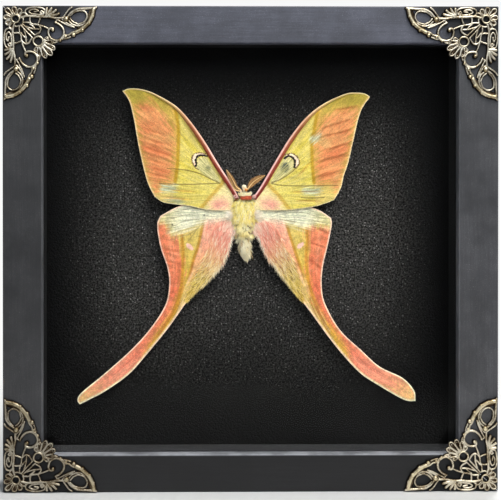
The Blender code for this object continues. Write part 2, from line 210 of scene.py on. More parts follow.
# ---------------------------------------------------------------- frame finishes
def black_wood(name, grain, inner_edge, lit_tint, edge_wear_and_highlight, gloss):
    """Satin black painted wood over a brushed grain that runs along one axis, worn pale along its inner edge.

    That pale edge is partly wear and partly a painted highlight, most on the bottom rail. Near the corners
    the wood is darkened as painted shadow of the brass. The colour is scaled per member, as red, green and
    blue: painted light that makes each one a lit or shaded copy of one finish."""
    made = Finish(name, Specular_IOR_Level=gloss)
    along = {"x": (0.04, 1, 1), "z": (1, 1, 0.04)}[grain]
    streaks = made.noise(1.1, 5.0, 0.62, where=made.place(along))
    fine = made.noise(3.4, 3.0, 0.6, where=made.place(along))
    mottle = made.noise(0.07, 4.0, 0.6)
    specks = made.noise(1.6, 3.0, 0.7)
    base = made.coats(
        made.mix(made.band(streaks, 0.38, 0.62), "#1f1f20", "#242425"),
        (made.band(fine, 0.5, 0.72, 0.0, 0.16), "#3a3a3a"),
        (made.band(specks, 0.55, 0.72, 0.0, 0.55), "#4c4b4a"),
        (made.band(mottle, 0.35, 0.65, 0.6, 0.0), "#1a1a1b"),
    )
    cloud = made.band(made.noise(0.045, 5.0, 0.65), 0.34, 0.66, 0.78, 1.22)
    # painted light: each member's colour is scaled to a lighter, darker or bluer copy as light falls on it
    base = made.scaled(made.mix(1.0, base, lit_tint, "MULTIPLY"), cloud)
    x, z = made.axis("X"), made.axis("Z")
    half_tall = (FRAME_HIGH.z - FRAME_LOW.z) / 2 / MM
    from_side = FRAME_HIGH.x / MM - abs(x)
    from_end = half_tall - abs(z - half_tall)
    # painted shadow of the brass corners: the wood near each corner made nearly black and rougher
    shade_under_brass = made.band(from_side + from_end, 30, 48, 0.9, 0.0)
    from_edge = abs((z if grain == "x" else x) - inner_edge / MM)
    # the pale line along the inner edge is partly wear, partly a painted highlight, set per member
    rubbed_and_highlit_edge = made.band(from_edge, 0.25, 0.75, 1.0, 0.0) * made.band(mottle, 0.3, 0.6, 0.45, 1.0)
    base = made.coats(base, (shade_under_brass, "#050505"), (rubbed_and_highlit_edge * edge_wear_and_highlight, "#b2b4ba"))
    rough = made.band(streaks, 0.3, 0.7, 0.54, 0.47) + made.band(mottle, 0.3, 0.7, -0.04, 0.05)
    relief = made.bump(streaks + fine * 0.5, 0.06)
    return made.drive(Base_Color=base, Roughness=rough + shade_under_brass * 0.3, Normal=relief)


def glass():
    """Clear pane that lets lamps through to the moth."""
    made = Finish("glass", Roughness=0.0, IOR=1.12, Transmission_Weight=1.0, Base_Color=(0.985, 0.99, 0.988))
    made.clear_where(made.add("LightPath", {}, "Is Shadow Ray"))
    return made.material


def black_paper():
    """Pebbled black paper with tiny flecks, painted darker near the opening's edges as the frame's shade."""
    made = Finish("black_paper", Roughness=0.8, Specular_IOR_Level=0.08)
    grain = made.noise(1.0, 3.0, 0.65)
    drift = made.noise(0.02, 3.0, 0.6)
    chance = made.axis("X", made.cells(0.8, "Color"))
    fleck = made.band(made.cells(0.8), 0.12, 0.34, 1.0, 0.0) * made.band(chance, 0.5, 1.0)
    x, z = made.axis("X"), made.axis("Z")
    left, right = OPENING_LOW.x / MM, OPENING_HIGH.x / MM
    low, high = OPENING_LOW.z / MM, OPENING_HIGH.z / MM
    # painted shade: darker near the opening's walls, most at the top and the sides
    across = made.band(x, left, left + 48, 0.03, 1.0) * made.band(x, right - 2, right - 46)
    upright = made.band(z, high, high - 74, 0.02, 1.0) * made.band(z, low, low + 92, 0.06, 1.0)
    base = made.coats(
        made.mix(made.band(grain, 0.40, 0.62), "#0e0d0c", "#4a4845"),
        (made.band(drift, 0.4, 0.6, 0.25, 0.0), "#1e1e1e"),
        (fleck * 0.6, "#a8a5a2"),
    )
    # the painted shade laid over the paper
    base = made.mix(across * upright, "#040404", base)
    return made.drive(Base_Color=base, Normal=made.bump(grain - made.cells(0.9) * 0.6, 0.35, 0.9))


def black_card(name, low, high):
    """Matt black liner between the glass and the backboard, with a speckled nap."""
    made = Finish(name, Roughness=0.85, Specular_IOR_Level=0.2)
    grain = made.noise(1.8, 4.0, 0.65)
    base = made.mix(made.band(grain, 0.35, 0.65), (low, low, low), (high, high, high * 1.05))
    return made.drive(Base_Color=base, Normal=made.bump(grain, 0.12, 0.6))


def fibreboard():
    """Plain brown hardboard with short pale and dark fibres pressed into it."""
    made = Finish("fibreboard", Roughness=0.8, Specular_IOR_Level=0.3)
    fibres = made.noise(0.9, 5.0, 0.7, 0.6, made.place((1, 1, 0.25)))
    crossed = made.noise(1.3, 4.0, 0.7, 0.6, made.place((0.3, 1, 1)))
    cloud = made.noise(0.02, 4.0, 0.6)
    base = made.coats(
        made.mix(made.band(fibres, 0.36, 0.64), "#68503a", "#967a5c"),
        (made.band(crossed, 0.56, 0.7, 0.0, 0.6), "#b09472"),
        (made.band(crossed, 0.42, 0.3, 0.0, 0.5), "#4e3a2a"),
        (made.band(cloud, 0.4, 0.6, 0.35, 0.0), "#765e46"),
    )
    return made.drive(Base_Color=base, Normal=made.bump(fibres + crossed, 0.12, 0.8))


def zinc(name, tone):
    """Zinc-plated steel: a faint crystal pattern, fine scratches and dull stains."""
    made = Finish(name, Metallic=1.0)
    scratches = made.noise(5.0, 3.0, 0.6, where=made.place((0.08, 1, 1.2)))
    stain = made.noise(0.4, 4.0, 0.6)
    pale = tuple(min(1.0, c * 1.4) for c in tone)
    base = made.mix(made.axis("X", made.cells(0.5, "Color")), tone, pale)
    base = made.mix(made.band(stain, 0.55, 0.75, 0.0, 0.5), base, "#706a62")
    rough = made.band(scratches, 0.3, 0.7, 0.26, 0.42) + made.band(stain, 0.5, 0.7, 0.0, 0.2)
    return made.drive(Base_Color=base, Roughness=rough, Normal=made.bump(scratches, 0.02, 0.5))


def coat(nodes, material):
    """Gives CAD nodes one finish."""
    for node in nodes:
        mesh = bpy.data.objects[node].data
        mesh.materials.clear()
        mesh.materials.append(material)


# ---------------------------------------------------------------- flat drawing helpers
def unit(vectors):
    return vectors / np.linalg.norm(vectors, axis=1)[:, None]


def path(points, step=0.4):
    """Points about a step apart on a smooth curve through an open run of points."""
    run = np.array(points, float)
    run = np.vstack([2 * run[0] - run[1], run, 2 * run[-1] - run[-2]])
    pieces = []
    for a, b, c, d in zip(run, run[1:], run[2:], run[3:]):
        count = max(1, round(np.linalg.norm(c - b) / step))
        t = np.arange(count)[:, None] / count
        bend = 2 * a - 5 * b + 4 * c - d
        twist = 3 * b - a - 3 * c + d
        pieces.append(b + 0.5 * ((c - a) * t + bend * t**2 + twist * t**3))
    return np.vstack([*pieces, run[-2:-1]])


def measure(spots, run):
    """Each spot's distance to a run of points, its side (+1 is left of travel) and how far along."""
    best = np.full(len(spots), np.inf)
    side = np.ones(len(spots))
    along = np.zeros(len(spots))
    travelled = 0.0
    for a, b in zip(run, run[1:]):
        span = b - a
        length = np.hypot(*span)
        share = np.clip((spots - a) @ span / length**2, 0, 1)
        off = spots - a - share[:, None] * span
        distance = np.hypot(off[:, 0], off[:, 1])
        closer = distance < best
        best[closer] = distance[closer]
        side[closer] = np.sign(span[0] * off[closer, 1] - span[1] * off[closer, 0])
        along[closer] = travelled + share[closer] * length
        travelled += length
    return best, side, along


def line_gap(spots, points, step=0.4):
    """Each spot's distance to a smooth line."""
    return measure(spots, path(points, step))[0]


def sided_gap(spots, points, sign):
    """Each spot's distance to a smooth line, above zero on one side of it."""
    distance, side, _ = measure(spots, path(points))
    return distance * side * sign


def within(spots, loop):
    """Whether each spot is inside a closed loop."""
    odd = np.zeros(len(spots), bool)
    x, y = spots.T
    for (ax, ay), (bx, by) in zip(loop, np.roll(loop, -1, 0)):
        if ay != by:
            crosses = (ay > y) != (by > y)
            odd ^= crosses & (x < ax + (y - ay) * (bx - ax) / (by - ay))
    return odd


def zone(spots, corners):
    """Distance in from the edge of a soft-cornered patch, negative outside it."""
    loop = path([*corners, corners[0]], 0.8)
    distance = measure(spots, loop)[0]
    return np.where(within(spots, loop[:-1]), distance, -distance)


def fill(loop, runs, step):
    """Points and triangles that fill a loop, with the runs inside it kept as edges."""
    low, high = loop.min(0), loop.max(0)
    rows = np.arange(low[1], high[1], step * math.sqrt(0.75))
    columns = np.arange(low[0], high[0], step)
    grid = np.array([(x + step / 2 * (i % 2), y) for i, y in enumerate(rows) for x in columns])
    kept_runs = []
    for run in runs:
        run = run[within(run, loop)]
        kept_runs.append(run[measure(run, np.vstack([loop, loop[:1]]))[0] > step * 0.4])
    lines = np.vstack([loop, *kept_runs])
    grid = grid[within(grid, loop)]
    tree = KDTree(len(lines))
    for i, spot in enumerate(lines):
        tree.insert((*spot, 0.0), i)
    tree.balance()
    clear = [tree.find((*spot, 0.0))[2] > step * 0.55 for spot in grid]
    grid = grid[np.array(clear)]
    edges = [(i, (i + 1) % len(loop)) for i in range(len(loop))]
    start = len(loop)
    for run in kept_runs:
        edges += [(start + i, start + i + 1) for i in range(len(run) - 1)]
        start += len(run)
    spots = [Vector(p) for p in np.vstack([lines, grid])]
    found, _, faces, _, _, _ = delaunay_2d_cdt(spots, edges, [], 0, 1e-5)
    found = np.array([tuple(p) for p in found])
    faces = np.array(faces)
    return found, faces[within(found[faces].mean(1), loop)]


def smooth_object(name, verts, faces, material, fields=None):
    """A smooth piece on the root body, with its named fields kept on the points."""
    mesh = bpy.data.meshes.new(name)
    mesh.from_pydata([tuple(v) for v in verts], [], [tuple(int(i) for i in f) for f in faces])
    mesh.shade_smooth()
    for field, values in (fields or {}).items():
        made = mesh.attributes.new(field, "FLOAT", "POINT")
        made.data.foreach_set("value", np.asarray(values, np.float32))
    mesh.materials.append(material)
    piece = bpy.data.objects.new(name, mesh)
    bpy.context.scene.collection.objects.link(piece)
    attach(piece, "root")
    return piece


def rim_edges(faces):
    """Edges that only one face has, in that face's direction."""
    seen = {}
    for face in faces.tolist():
        for a, b in zip(face, face[1:] + face[:1]):
            seen[(a, b)] = True
    return [edge for edge in seen if (edge[1], edge[0]) not in seen]


def ring_faces(rings, around, flipped=False):
    """Faces between rings of points, then one across each end."""
    faces = []
    for i in range(rings - 1):
        for j in range(around):
            a, b = i * around + j, i * around + (j + 1) % around
            c, d = b + around, a + around
            faces.append((a, d, c, b) if flipped else (a, b, c, d))
    first = tuple(range(around))
    last = tuple(range((rings - 1) * around, rings * around))
    return [*faces, first, last[::-1]] if flipped else [*faces, first[::-1], last]


def on_board(spots, heights):
    """Moth places (x, z) and heights off the board, in millimetres, as points of the frame."""
    x, z = spots.T
    return np.stack([(MOTH_X + x) * MM, BOARD_Y - heights * MM, (MOTH_Z + z) * MM], 1)


# ---------------------------------------------------------------- wings
# Moth places are millimetres to the right of and above this point of the board, from the frame's middle
# and foot. Heights are millimetres off the board.
MOTH_X = -2.2
MOTH_Z = 137.6
FOREWING_HEIGHT = 7.4
HINDWING_HEIGHT = 6.85
TIP_RISE = 0.014  # how much a wing climbs for each millimetre outward
TAIL_DROOP = 0.012  # how much a tail sinks for each millimetre down
WING_STEP = 0.46  # how far apart a wing's points are
WING_THICKNESS = 0.3
EDGE_SHARE, EDGE_RUN = 0.3, 3  # the share of it at the edge, and how far in it grows to the full
WAVE_HEIGHT, WAVE_OUT, WAVE_UP = 0.35, 6.5, 9  # slow waves, and their pace outward and up the wing
WAVE_START = 30  # how far out the waves reach their height
RIDGE_HEIGHT, RIDGE_WIDTH = 0.16, 0.75
CREASE_DEPTH = 0.30  # for each millimetre of a crease's width
NICK_PACE, NICK_SHARE = 0.55, 0.6  # how often nicks come along a torn edge, and how short they are
FOREWING_EDGES = ("costa", "margin", "hind", "root")
HINDWING_EDGES = ("costa", "margin", "inner", "root")

FOREWING_LEFT = {
    "costa": [
        (-3.2, 10.4), (-7.5, 18), (-14, 28), (-21, 39.5), (-28.5, 50), (-35.5, 57.5), (-44.5, 63),
        (-52, 66), (-59, 66.7), (-63, 65.4),
    ],
    "margin": [(-63, 65.4), (-59.5, 60), (-57, 50), (-55, 38.5), (-52.5, 27), (-50, 18), (-46.5, 11)],
    "hind": [
        (-46.5, 11), (-42.5, 8.3), (-37, 7.2), (-28.5, 6.2), (-22.5, 4.8), (-16, 3.9), (-3, 3.9),
    ],
    "root": [(-3, 3.9), (-2.6, 7.5), (-3.2, 10.4)],
    "postmedial": [(-36.5, 59), (-35.7, 55.5), (-34.3, 47.3), (-34.3, 36.2), (-34.8, 27), (-35.9, 18.7)],
    "antemedial": [(-9, 22), (-12.6, 16.8), (-17.8, 10.8), (-22.8, 4.9), (-25, 2)],
    "salmon": [
        (-56.2, 58), (-51.6, 60.2), (-47, 58), (-41.5, 53.5), (-38.4, 49), (-36.8, 43.6), (-36.8, 32),
        (-37.3, 25.1), (-38.4, 19.5), (-43.3, 17.3), (-45.1, 13.4), (-48.6, 16.5), (-51.6, 27),
        (-53.7, 36), (-55.4, 46),
    ],
    "cell": [
        (-24.4, 30.9), (-20.3, 31.3), (-17.6, 27.4), (-13.4, 20.5), (-13.1, 18.2), (-19.3, 21.2),
        (-23.2, 24.4), (-24.9, 26.3),
    ],
    "arc": [(-19.6, 32), (-22.6, 32.3), (-24.6, 31.6), (-25.4, 29.7), (-25, 28.2), (-25.3, 26.8)],
    "halo": [
        (-20.5, 33.2), (-24, 33.7), (-26.3, 32.7), (-27.3, 30.7), (-26.9, 28.4), (-25.8, 26.5), (-24, 25),
    ],
    "blue": [
        [(-43, 17), (-35.6, 17), (-35, 14.2), (-39, 13.4), (-43, 14.2)],
        [(-41.5, 9.6), (-36, 10.4), (-31.6, 8.6), (-32.4, 7), (-38, 7.6)],
    ],
    "pink": [(-17.5, 7.2), (-14, 9.8), (-9.6, 8.8), (-8.8, 6.2), (-12.5, 4.6), (-16.6, 5)],
    "blotch": [(-19.6, 26.9), (-18.2, 26.2), (-18.4, 24.4), (-20.2, 25)],
    "veins": [
        [(-12.8, 18), (-22, 17.6), (-32, 17.4), (-44, 17.8)],
        [(-13.5, 18.4), (-18, 20.4), (-22.3, 22.6), (-27, 24), (-32, 25), (-40, 25.6)],
    ],
    "ridges": [
        [(-24.6, 31), (-30, 41), (-37, 50), (-47, 61)], [(-25, 30), (-35, 41), (-57, 55)],
        [(-25.3, 28), (-37, 35), (-56.5, 46)], [(-25.3, 26.5), (-38, 29.5), (-54.5, 37)],
        [(-28, 25), (-40, 25), (-53, 28)], [(-14, 13), (-30, 11.5), (-46, 12.5)],
    ],
    "creases": [
        ((-40, 42), (-54, 46.5), 1.0), ((-38.4, 37), (-54, 41.5), 1.3), ((-37.4, 31.5), (-53, 36.5), 1.3),
        ((-39, 27), (-52, 30.5), 1.2), ((-40, 20.5), (-50.5, 23), 1.2), ((-44, 52), (-51, 59), 0.8),
        ((-44, 14), (-47, 17), 0.9), ((-27, 9.5), (-44, 10.8), 0.8), ((-25.5, 13.5), (-38, 14.5), 0.7),
    ],
    "tatter": 0.0,
}
FOREWING_RIGHT = {
    "costa": [
        (4.2, 10.2), (8.5, 16.5), (15.5, 28.5), (23.5, 41.5), (32, 52), (41, 59), (52, 64),
        (58, 64.6), (62, 64), (64.5, 62.5),
    ],
    "margin": [
        (64.5, 62.5), (60.5, 56.5), (58, 49), (55.5, 38), (53.5, 29), (51, 21.5), (49.5, 15.5),
        (46, 9.3),
    ],
    "hind": [(46, 9.3), (41.5, 7.5), (36.5, 6), (29, 4.8), (22.5, 4), (14, 3.8), (3, 4)],
    "root": [(3, 4), (2.8, 7.5), (4.2, 10.2)],
    "postmedial": [(38.4, 58), (37.3, 54.5), (35.6, 44.7), (34.6, 38.5), (34.8, 27.6), (35.6, 18.2)],
    "antemedial": [(9, 22), (13, 16.4), (18.1, 10.9), (22.4, 5.3), (24.5, 2.4)],
    "salmon": [
        (59.2, 56.2), (53.2, 57), (46.3, 54.2), (40.8, 51), (38.2, 47.5), (37.8, 43), (37.2, 37),
        (36.8, 29.7), (37, 21.4), (38, 18.4), (44, 17.6), (47.8, 14), (50.2, 21), (52.8, 30),
        (54.6, 38), (56.8, 48),
    ],
    "cell": [
        (20.5, 31), (23.7, 31.3), (25.4, 28.4), (24.9, 25.2), (20.1, 21.2), (14.5, 17.8), (13.4, 18.7),
        (16.8, 25.1),
    ],
    "arc": [(20.2, 30.8), (22.4, 32), (24.7, 31.2), (25.8, 29.3), (25.6, 26.4)],
    "halo": [(20.8, 32.6), (23.7, 33.3), (26, 32.6), (27.9, 30.2), (27.9, 27.9), (26.4, 25.6)],
    "blue": [
        [(30.2, 15.9), (38.5, 15.7), (38, 12.4), (30.6, 12.2)],
        [(34.2, 41.5), (38.9, 43.8), (38.6, 40.6), (34.6, 39.2)],
    ],
    "pink": [(8.8, 9), (13.6, 9.8), (17.8, 7), (16, 4.8), (12, 4.8), (9.4, 6.4)],
    "blotch": [(19.4, 28.2), (21.8, 28.6), (22.6, 26), (21.4, 23.6), (19, 24.6)],
    "veins": [
        [(13.8, 17.8), (20, 16.8), (32, 16.6), (48, 16.9)],
        [(14, 18.4), (18.5, 20), (24.5, 24), (27.5, 27.5)],
        [(29.2, 10.6), (35, 10.3), (40.8, 10.6)],
    ],
    "ridges": [
        [(24.5, 31.5), (30, 39), (37, 45), (60, 56)], [(25.8, 30), (36, 38), (57.5, 48)],
        [(25.8, 28), (36, 32), (56, 41)], [(25.5, 26), (36, 27), (54, 33)],
        [(21, 21.5), (36, 21.5), (52, 25)], [(14, 13), (30, 11.5), (47, 11)],
    ],
    "creases": [
        ((46, 55.4), (58.3, 57.4), 1.0), ((40, 46), (56, 51), 1.0), ((38, 41), (55.5, 45.5), 1.0),
        ((36.4, 28), (53.6, 32.6), 1.6), ((37.4, 21), (51, 24.4), 1.5), ((39, 34), (54, 38.5), 0.9),
        ((27, 21), (34, 29), 0.8), ((26.5, 9), (40, 8.6), 0.8), ((24, 13.5), (40, 13.7), 0.6),
    ],
    "tatter": 0.55,
}
HINDWING_LEFT = {
    "costa": [(-2.5, 8), (-13, 10.5), (-22, 10), (-29, 8), (-36.5, 5), (-43.7, 1)],
    "margin": [
        (-43.7, 1), (-45.2, -4), (-43.5, -15), (-40, -25.5), (-39, -34), (-41, -45), (-49, -57.5),
        (-59, -68.5), (-72.5, -80.5), (-84, -90), (-86.4, -94), (-85.2, -96.4),
    ],
    "inner": [
        (-85.2, -96.4), (-79.5, -93.5), (-72, -89.5), (-60, -81), (-50.5, -70.5), (-39.5, -57),
        (-28, -41), (-19.5, -32.5), (-12.5, -24.5), (-9, -17), (-6.4, -8), (-4.8, -4), (-2.5, 0),
    ],
    "root": [(-2.5, 0), (-2.5, 8)],
    "white": [
        (-48, -1), (-40.4, -3.4), (-37.8, -8), (-34.6, -7.4), (-27.2, -4.5), (-18.9, -1.2), (-7, -0.6),
        (-4, -1.0),
    ],
    "coral": [
        (-47, 0), (-41, -2.8), (-37, -9), (-33.2, -13.5), (-32.2, -19), (-31.8, -26), (-32.6, -34),
        (-34.4, -41), (-38, -48.8), (-43, -56), (-47.4, -62), (-50.6, -68), (-52, -74), (-52, -80),
    ],
    "first": [(-21, 0), (-21.5, -3), (-22.9, -9.5), (-24.4, -15.7), (-26.2, -20.7), (-28.3, -28), (-31, -36)],
    "second": [
        (-32.6, -9), (-31.9, -15.3), (-31.9, -23.3), (-32.3, -30.5), (-33, -36), (-34.1, -41.4),
        (-35.9, -46.8), (-41, -56),
    ],
    "spot": [(-30, -13), (-28, -13.6), (-26.4, -16), (-27.6, -16.6), (-30, -14.8)],
    "veins": [
        [(-16, 2), (-26, 5), (-38, 2.6)], [(-17, 1), (-28, 2), (-41, -1.2)],
        [(-19, -0.4), (-29, -1), (-38, -4.6)], [(-22, -3), (-28, -8), (-36, -9.8)],
        [(-24, -5), (-28, -10.5), (-31, -13.5)],
    ],
    "ridges": [
        [(-14, 2), (-30, -12), (-36, -28), (-37, -40), (-46, -57), (-60, -72), (-82, -92)],
        [(-10, 0), (-20, -18), (-32, -38), (-46, -59), (-60, -75), (-80, -92.5)],
        [(-8, -3), (-14, -20), (-27, -38)],
    ],
    "creases": [
        ((-34, -18), (-43, -16), 1.2), ((-33.6, -24.5), (-41, -22), 1.1), ((-11, -6), (-19, -14), 1.1),
        ((-12, -12), (-23, -22), 1.1), ((-14, -2), (-20.5, -7), 1.0), ((-26, -21), (-29, -33), 1.0),
    ],
    "specks": [(-20.9, 1.5), (-37.4, -3.4)],
}
HINDWING_RIGHT = {
    "costa": [(2.5, 8), (13, 10), (22, 9), (28.5, 7.5), (38.5, 4), (44.7, 0)],
    "margin": [
        (44.7, 0), (45, -4), (43, -14.5), (40.5, -25.5), (40, -36), (42, -45), (49.5, -58),
        (60.5, -68.5), (70, -77), (82, -83), (88, -89.5), (88.8, -95),
    ],
    "inner": [
        (88.8, -95), (85, -95), (80, -93), (69, -86.5), (60, -80.5), (51, -71), (43, -61),
        (33.5, -48), (23, -34.5), (16, -25), (12, -19.5), (9.5, -14), (6.6, -8), (4.8, -4), (2.5, 0),
    ],
    "root": [(2.5, 0), (2.5, 8)],
    "white": [
        (48, -6), (44.6, -5.4), (37.6, -3.2), (30.5, -4), (20.6, -2), (14.2, -0.9), (6.4, -1.2), (4, -1.2),
    ],
    "coral": [
        (47, -3), (40, -4.4), (33.4, -4.8), (32.4, -10), (32.6, -16.4), (32, -23.5), (33.4, -33.4),
        (35, -41.9), (39.2, -48.6), (43.8, -54.6), (48.2, -60.2), (52, -66), (54, -72), (54, -80),
    ],
    "first": [(20.8, 0), (21.5, -3), (23.3, -8.8), (25.2, -14.6), (27.4, -21), (29.1, -25.6), (31.6, -31)],
    "second": [
        (32.2, -5), (32.5, -11.2), (32, -15.7), (31.9, -22), (32.4, -27.9), (33.6, -34.8), (36, -42),
        (42, -52),
    ],
    "spot": [(30.2, -12.4), (30.6, -13.8), (28.6, -15.8), (27.2, -15.4), (27.6, -13.6)],
    "veins": [
        [(14, 2), (26, 5.4), (38, 2.8)], [(15, 1), (28, 3), (42, -0.6)],
        [(16, 0), (28, 0.2), (43, -3)], [(18, -0.6), (28, -2.2), (36, -3.2)],
    ],
    "ridges": [
        [(14, 1), (30, -10), (37, -28), (38, -40), (47, -57), (61, -71), (84, -90)],
        [(10, 0), (22, -18), (34, -40), (46, -59), (60, -76), (82, -92)],
        [(8, -3), (15, -18), (28, -38)],
    ],
    "creases": [
        ((37.6, -5.6), (44.2, -8.8), 1.3), ((33.6, -21.6), (39.8, -27.4), 1.4), ((34, -13), (42.4, -16), 1.0),
        ((12, -4), (20, -12), 1.1), ((12, -10), (24, -24), 1.1), ((26, -20), (31, -34), 1.0),
    ],
    "specks": [(21.5, -25.4), (20, -23.4)],
}


def outward_sign(wing):
    return -1 if wing["root"][0][0] < 0 else 1


def common_fields(spots, wing, edge_names):
    """Fields that both kinds of wing have, and the relief of their ridges and creases."""
    loop = np.vstack([path(wing[name])[:-1] for name in edge_names])
    away = spots - np.array(wing["root"][0])
    reach = np.hypot(*away.T)
    waves = np.sin(reach / WAVE_OUT + away[:, 1] / WAVE_UP)
    relief = WAVE_HEIGHT * waves * np.clip(reach / WAVE_START, 0, 1)
    for run in wing["ridges"]:
        relief += RIDGE_HEIGHT * np.exp(-((line_gap(spots, run, 2) / RIDGE_WIDTH) ** 2))
    # crease marks each crease's valley, which the finishes paint darker as shade
    crease = np.zeros(len(spots))
    for start, end, width in wing["creases"]:
        distance, side, along = measure(spots, np.array([start, end]))
        taper = np.sin(np.clip(along / math.dist(start, end), 0, 1) * math.pi) ** 0.5
        valley = np.exp(-((distance / width * 1.5) ** 2)) * taper
        crest = np.exp(-(((distance * side - width * 0.9) / width * 1.3) ** 2)) * taper
        relief += CREASE_DEPTH * width * (crest - valley)
        crease = np.maximum(crease, valley)
    fields = {"edge": measure(spots, np.vstack([loop, loop[:1]]))[0], "reach": reach, "crease": crease}
    fields["margin"] = line_gap(spots, wing["margin"])
    fields["veins"] = np.min([line_gap(spots, run, 0.8) for run in wing["veins"]], 0)
    return fields, relief


def forewing_fields(spots, wing):
    """The fields that place a forewing's marks, and its height off the board."""
    fields, relief = common_fields(spots, wing, FOREWING_EDGES)
    away = spots - np.array(wing["root"][-1])
    fields["fan"] = np.arctan2(away[:, 1], np.abs(away[:, 0])) * 40
    for name in ("postmedial", "antemedial"):
        fields[name] = sided_gap(spots, wing[name], outward_sign(wing))
    for name in ("salmon", "cell", "pink", "blotch"):
        fields[name] = zone(spots, wing[name])
    for name in ("arc", "halo"):
        fields[name] = line_gap(spots, wing[name])
    fields["blue"] = np.max([zone(spots, patch) for patch in wing["blue"]], 0)
    fields["crescent"] = zone(spots, [*wing["arc"], *wing["halo"][::-1]])
    return fields, FOREWING_HEIGHT + TIP_RISE * np.abs(spots[:, 0]) + relief


def hindwing_fields(spots, wing):
    """The fields that place a hindwing's marks, and its height off the board."""
    fields, relief = common_fields(spots, wing, HINDWING_EDGES)
    fields["inner"] = line_gap(spots, wing["inner"])
    fields["fan"] = fields["margin"] / (fields["margin"] + fields["inner"] + 0.01) * 14
    outward = outward_sign(wing)
    for name, sign in (("white", -outward), ("coral", outward), ("first", outward), ("second", outward)):
        fields[name] = sided_gap(spots, wing[name], sign)
    fields["spread"] = np.arctan2(spots[:, 1] - 2, np.abs(spots[:, 0])) * 30
    fields["spot"] = zone(spots, wing["spot"])
    fields["specks"] = np.min([np.hypot(*(spots - np.array(speck)).T) for speck in wing["specks"]], 0)
    return fields, HINDWING_HEIGHT + TAIL_DROOP * np.minimum(0, spots[:, 1]) + relief * 0.8


def tattered(run, amount, random):
    """A run of outline with small nicks, as in an old, worn wing."""
    shift = random.normal(0, 1, (len(run), 2)) * amount * 0.35
    bite = (np.sin(np.arange(len(run)) * NICK_PACE) > NICK_SHARE) * amount
    worn = run + shift * 0.4 + unit(run.mean(0) - run) * bite[:, None]
    return np.vstack([run[:2], worn[2:-2], run[-2:]])


def add_wing(name, wing, edge_names, fields_of, marks, material, random):
    """A thin closed wing whose marks are fields on its points."""
    sides = {edge: path(wing[edge])[:-1] for edge in edge_names}
    tatter = wing.get("tatter", 0)
    if tatter:
        sides["margin"] = tattered(sides["margin"], tatter * 0.6, random)
        sides["hind"] = tattered(sides["hind"], tatter, random)
    loop = np.vstack(list(sides.values()))
    runs = [path(run) for key in marks for run in (wing[key] if key == "veins" else [wing[key]])]
    spots, faces = fill(loop, runs, WING_STEP)
    fields, height = fields_of(spots, wing)
    thin = WING_THICKNESS * np.clip(EDGE_SHARE + fields["edge"] / EDGE_RUN, 0, 1)
    count = len(spots)
    verts = np.vstack([on_board(spots, height), on_board(spots, height - thin)])
    rim = [(a, a + count, b + count, b) for a, b in rim_edges(faces)]
    every = [*faces.tolist(), *(faces[:, ::-1] + count), *rim]
    fields = {key: np.tile(values, 2) for key, values in fields.items()}
    return smooth_object(name, verts, every, material, fields)


# ---------------------------------------------------------------- wing scales
SCALES = {"Roughness": 0.75, "Specular_IOR_Level": 0.2, "Sheen_Weight": 0.05, "Sheen_Roughness": 0.5}
# Colours along a wing from its root, or from one shade of a patch to the next.
FOREWING_YELLOWS = [
    (0.0, "#fae8be"), (0.14, "#f6e496"), (0.24, "#e2d068"), (0.45, "#dbc754"), (0.8, "#d0b842"),
]
SALMONS = [(0.33, "#ce7246"), (0.43, "#d88654"), (0.55, "#de965e"), (0.66, "#e4ac6e")]
HINDWING_PINKS = [
    (0.0, "#fadac0"), (0.05, "#f6b49e"), (0.12, "#f29486"), (0.22, "#f0aa80"), (0.36, "#d8b660"),
]
HINDWING_YELLOWS = [(0.1, "#dcc676"), (0.3, "#d6b450"), (0.5, "#d6a634"), (0.8, "#e8b654")]
CORALS = [(0.25, "#e88c62"), (0.4, "#e27450"), (0.66, "#e77e5e"), (0.8, "#ed8e72"), (1.0, "#ec9c76")]
# The rib's colours: a painted highlight for its lit side, and its own colour, also as painted shade.
RIB_PAINTED_HIGHLIGHT = [(0.0, "#ffceca"), (0.3, "#fac8ba"), (0.55, "#e2b492"), (0.72, "#eed4a6"), (1.0, "#f0e2b4")]
RIB_BELOW = [(0.0, "#841e14"), (0.25, "#923a26"), (0.5, "#9e5832"), (0.72, "#ceaa64"), (1.0, "#e0ce8c")]


def scale_grain(made, colour, streaks, streaky=0.35):
    """Light and dark scales: streaks along the fan, soft patches and single scales."""
    patches = made.noise(0.35, 4.0, 0.6)
    single = made.noise(1.5, 3.0, 0.7, where=made.place(turn=(0.7, 0.5, 0.4)))
    level = streaks * streaky + patches * (0.55 - streaky) + single * 0.45
    return made.scaled(colour, made.band(level, 0.38, 0.62, 0.68, 1.192))


def streaked(made, across, along, name="fan", scale=1.0, detail=4.0):
    """Noise drawn out along the wing, and fine across a named field."""
    where = made.combine(made.field(name) * across, made.field("reach") * along)
    return made.noise(scale, detail, 0.6, where=where)


def veinlets(made):
    """Mask of faint fine lines that run out from the wing's root."""
    lines = abs(streaked(made, 1.5, 0.012, detail=1.0) - 0.5)
    return made.band(lines, 0.0, 0.02, 0.7, 0.0) * made.band(made.noise(0.5), 0.38, 0.6)


def scaled_wing(made, colour, streaks, streaky=0.35):
    """The scales' grain over a wing's colours, and their fine relief."""
    relief = made.bump(streaks + made.noise(2.6, 2.0), 0.12, 0.6)
    return made.drive(Base_Color=scale_grain(made, colour, streaks, streaky), Normal=relief)


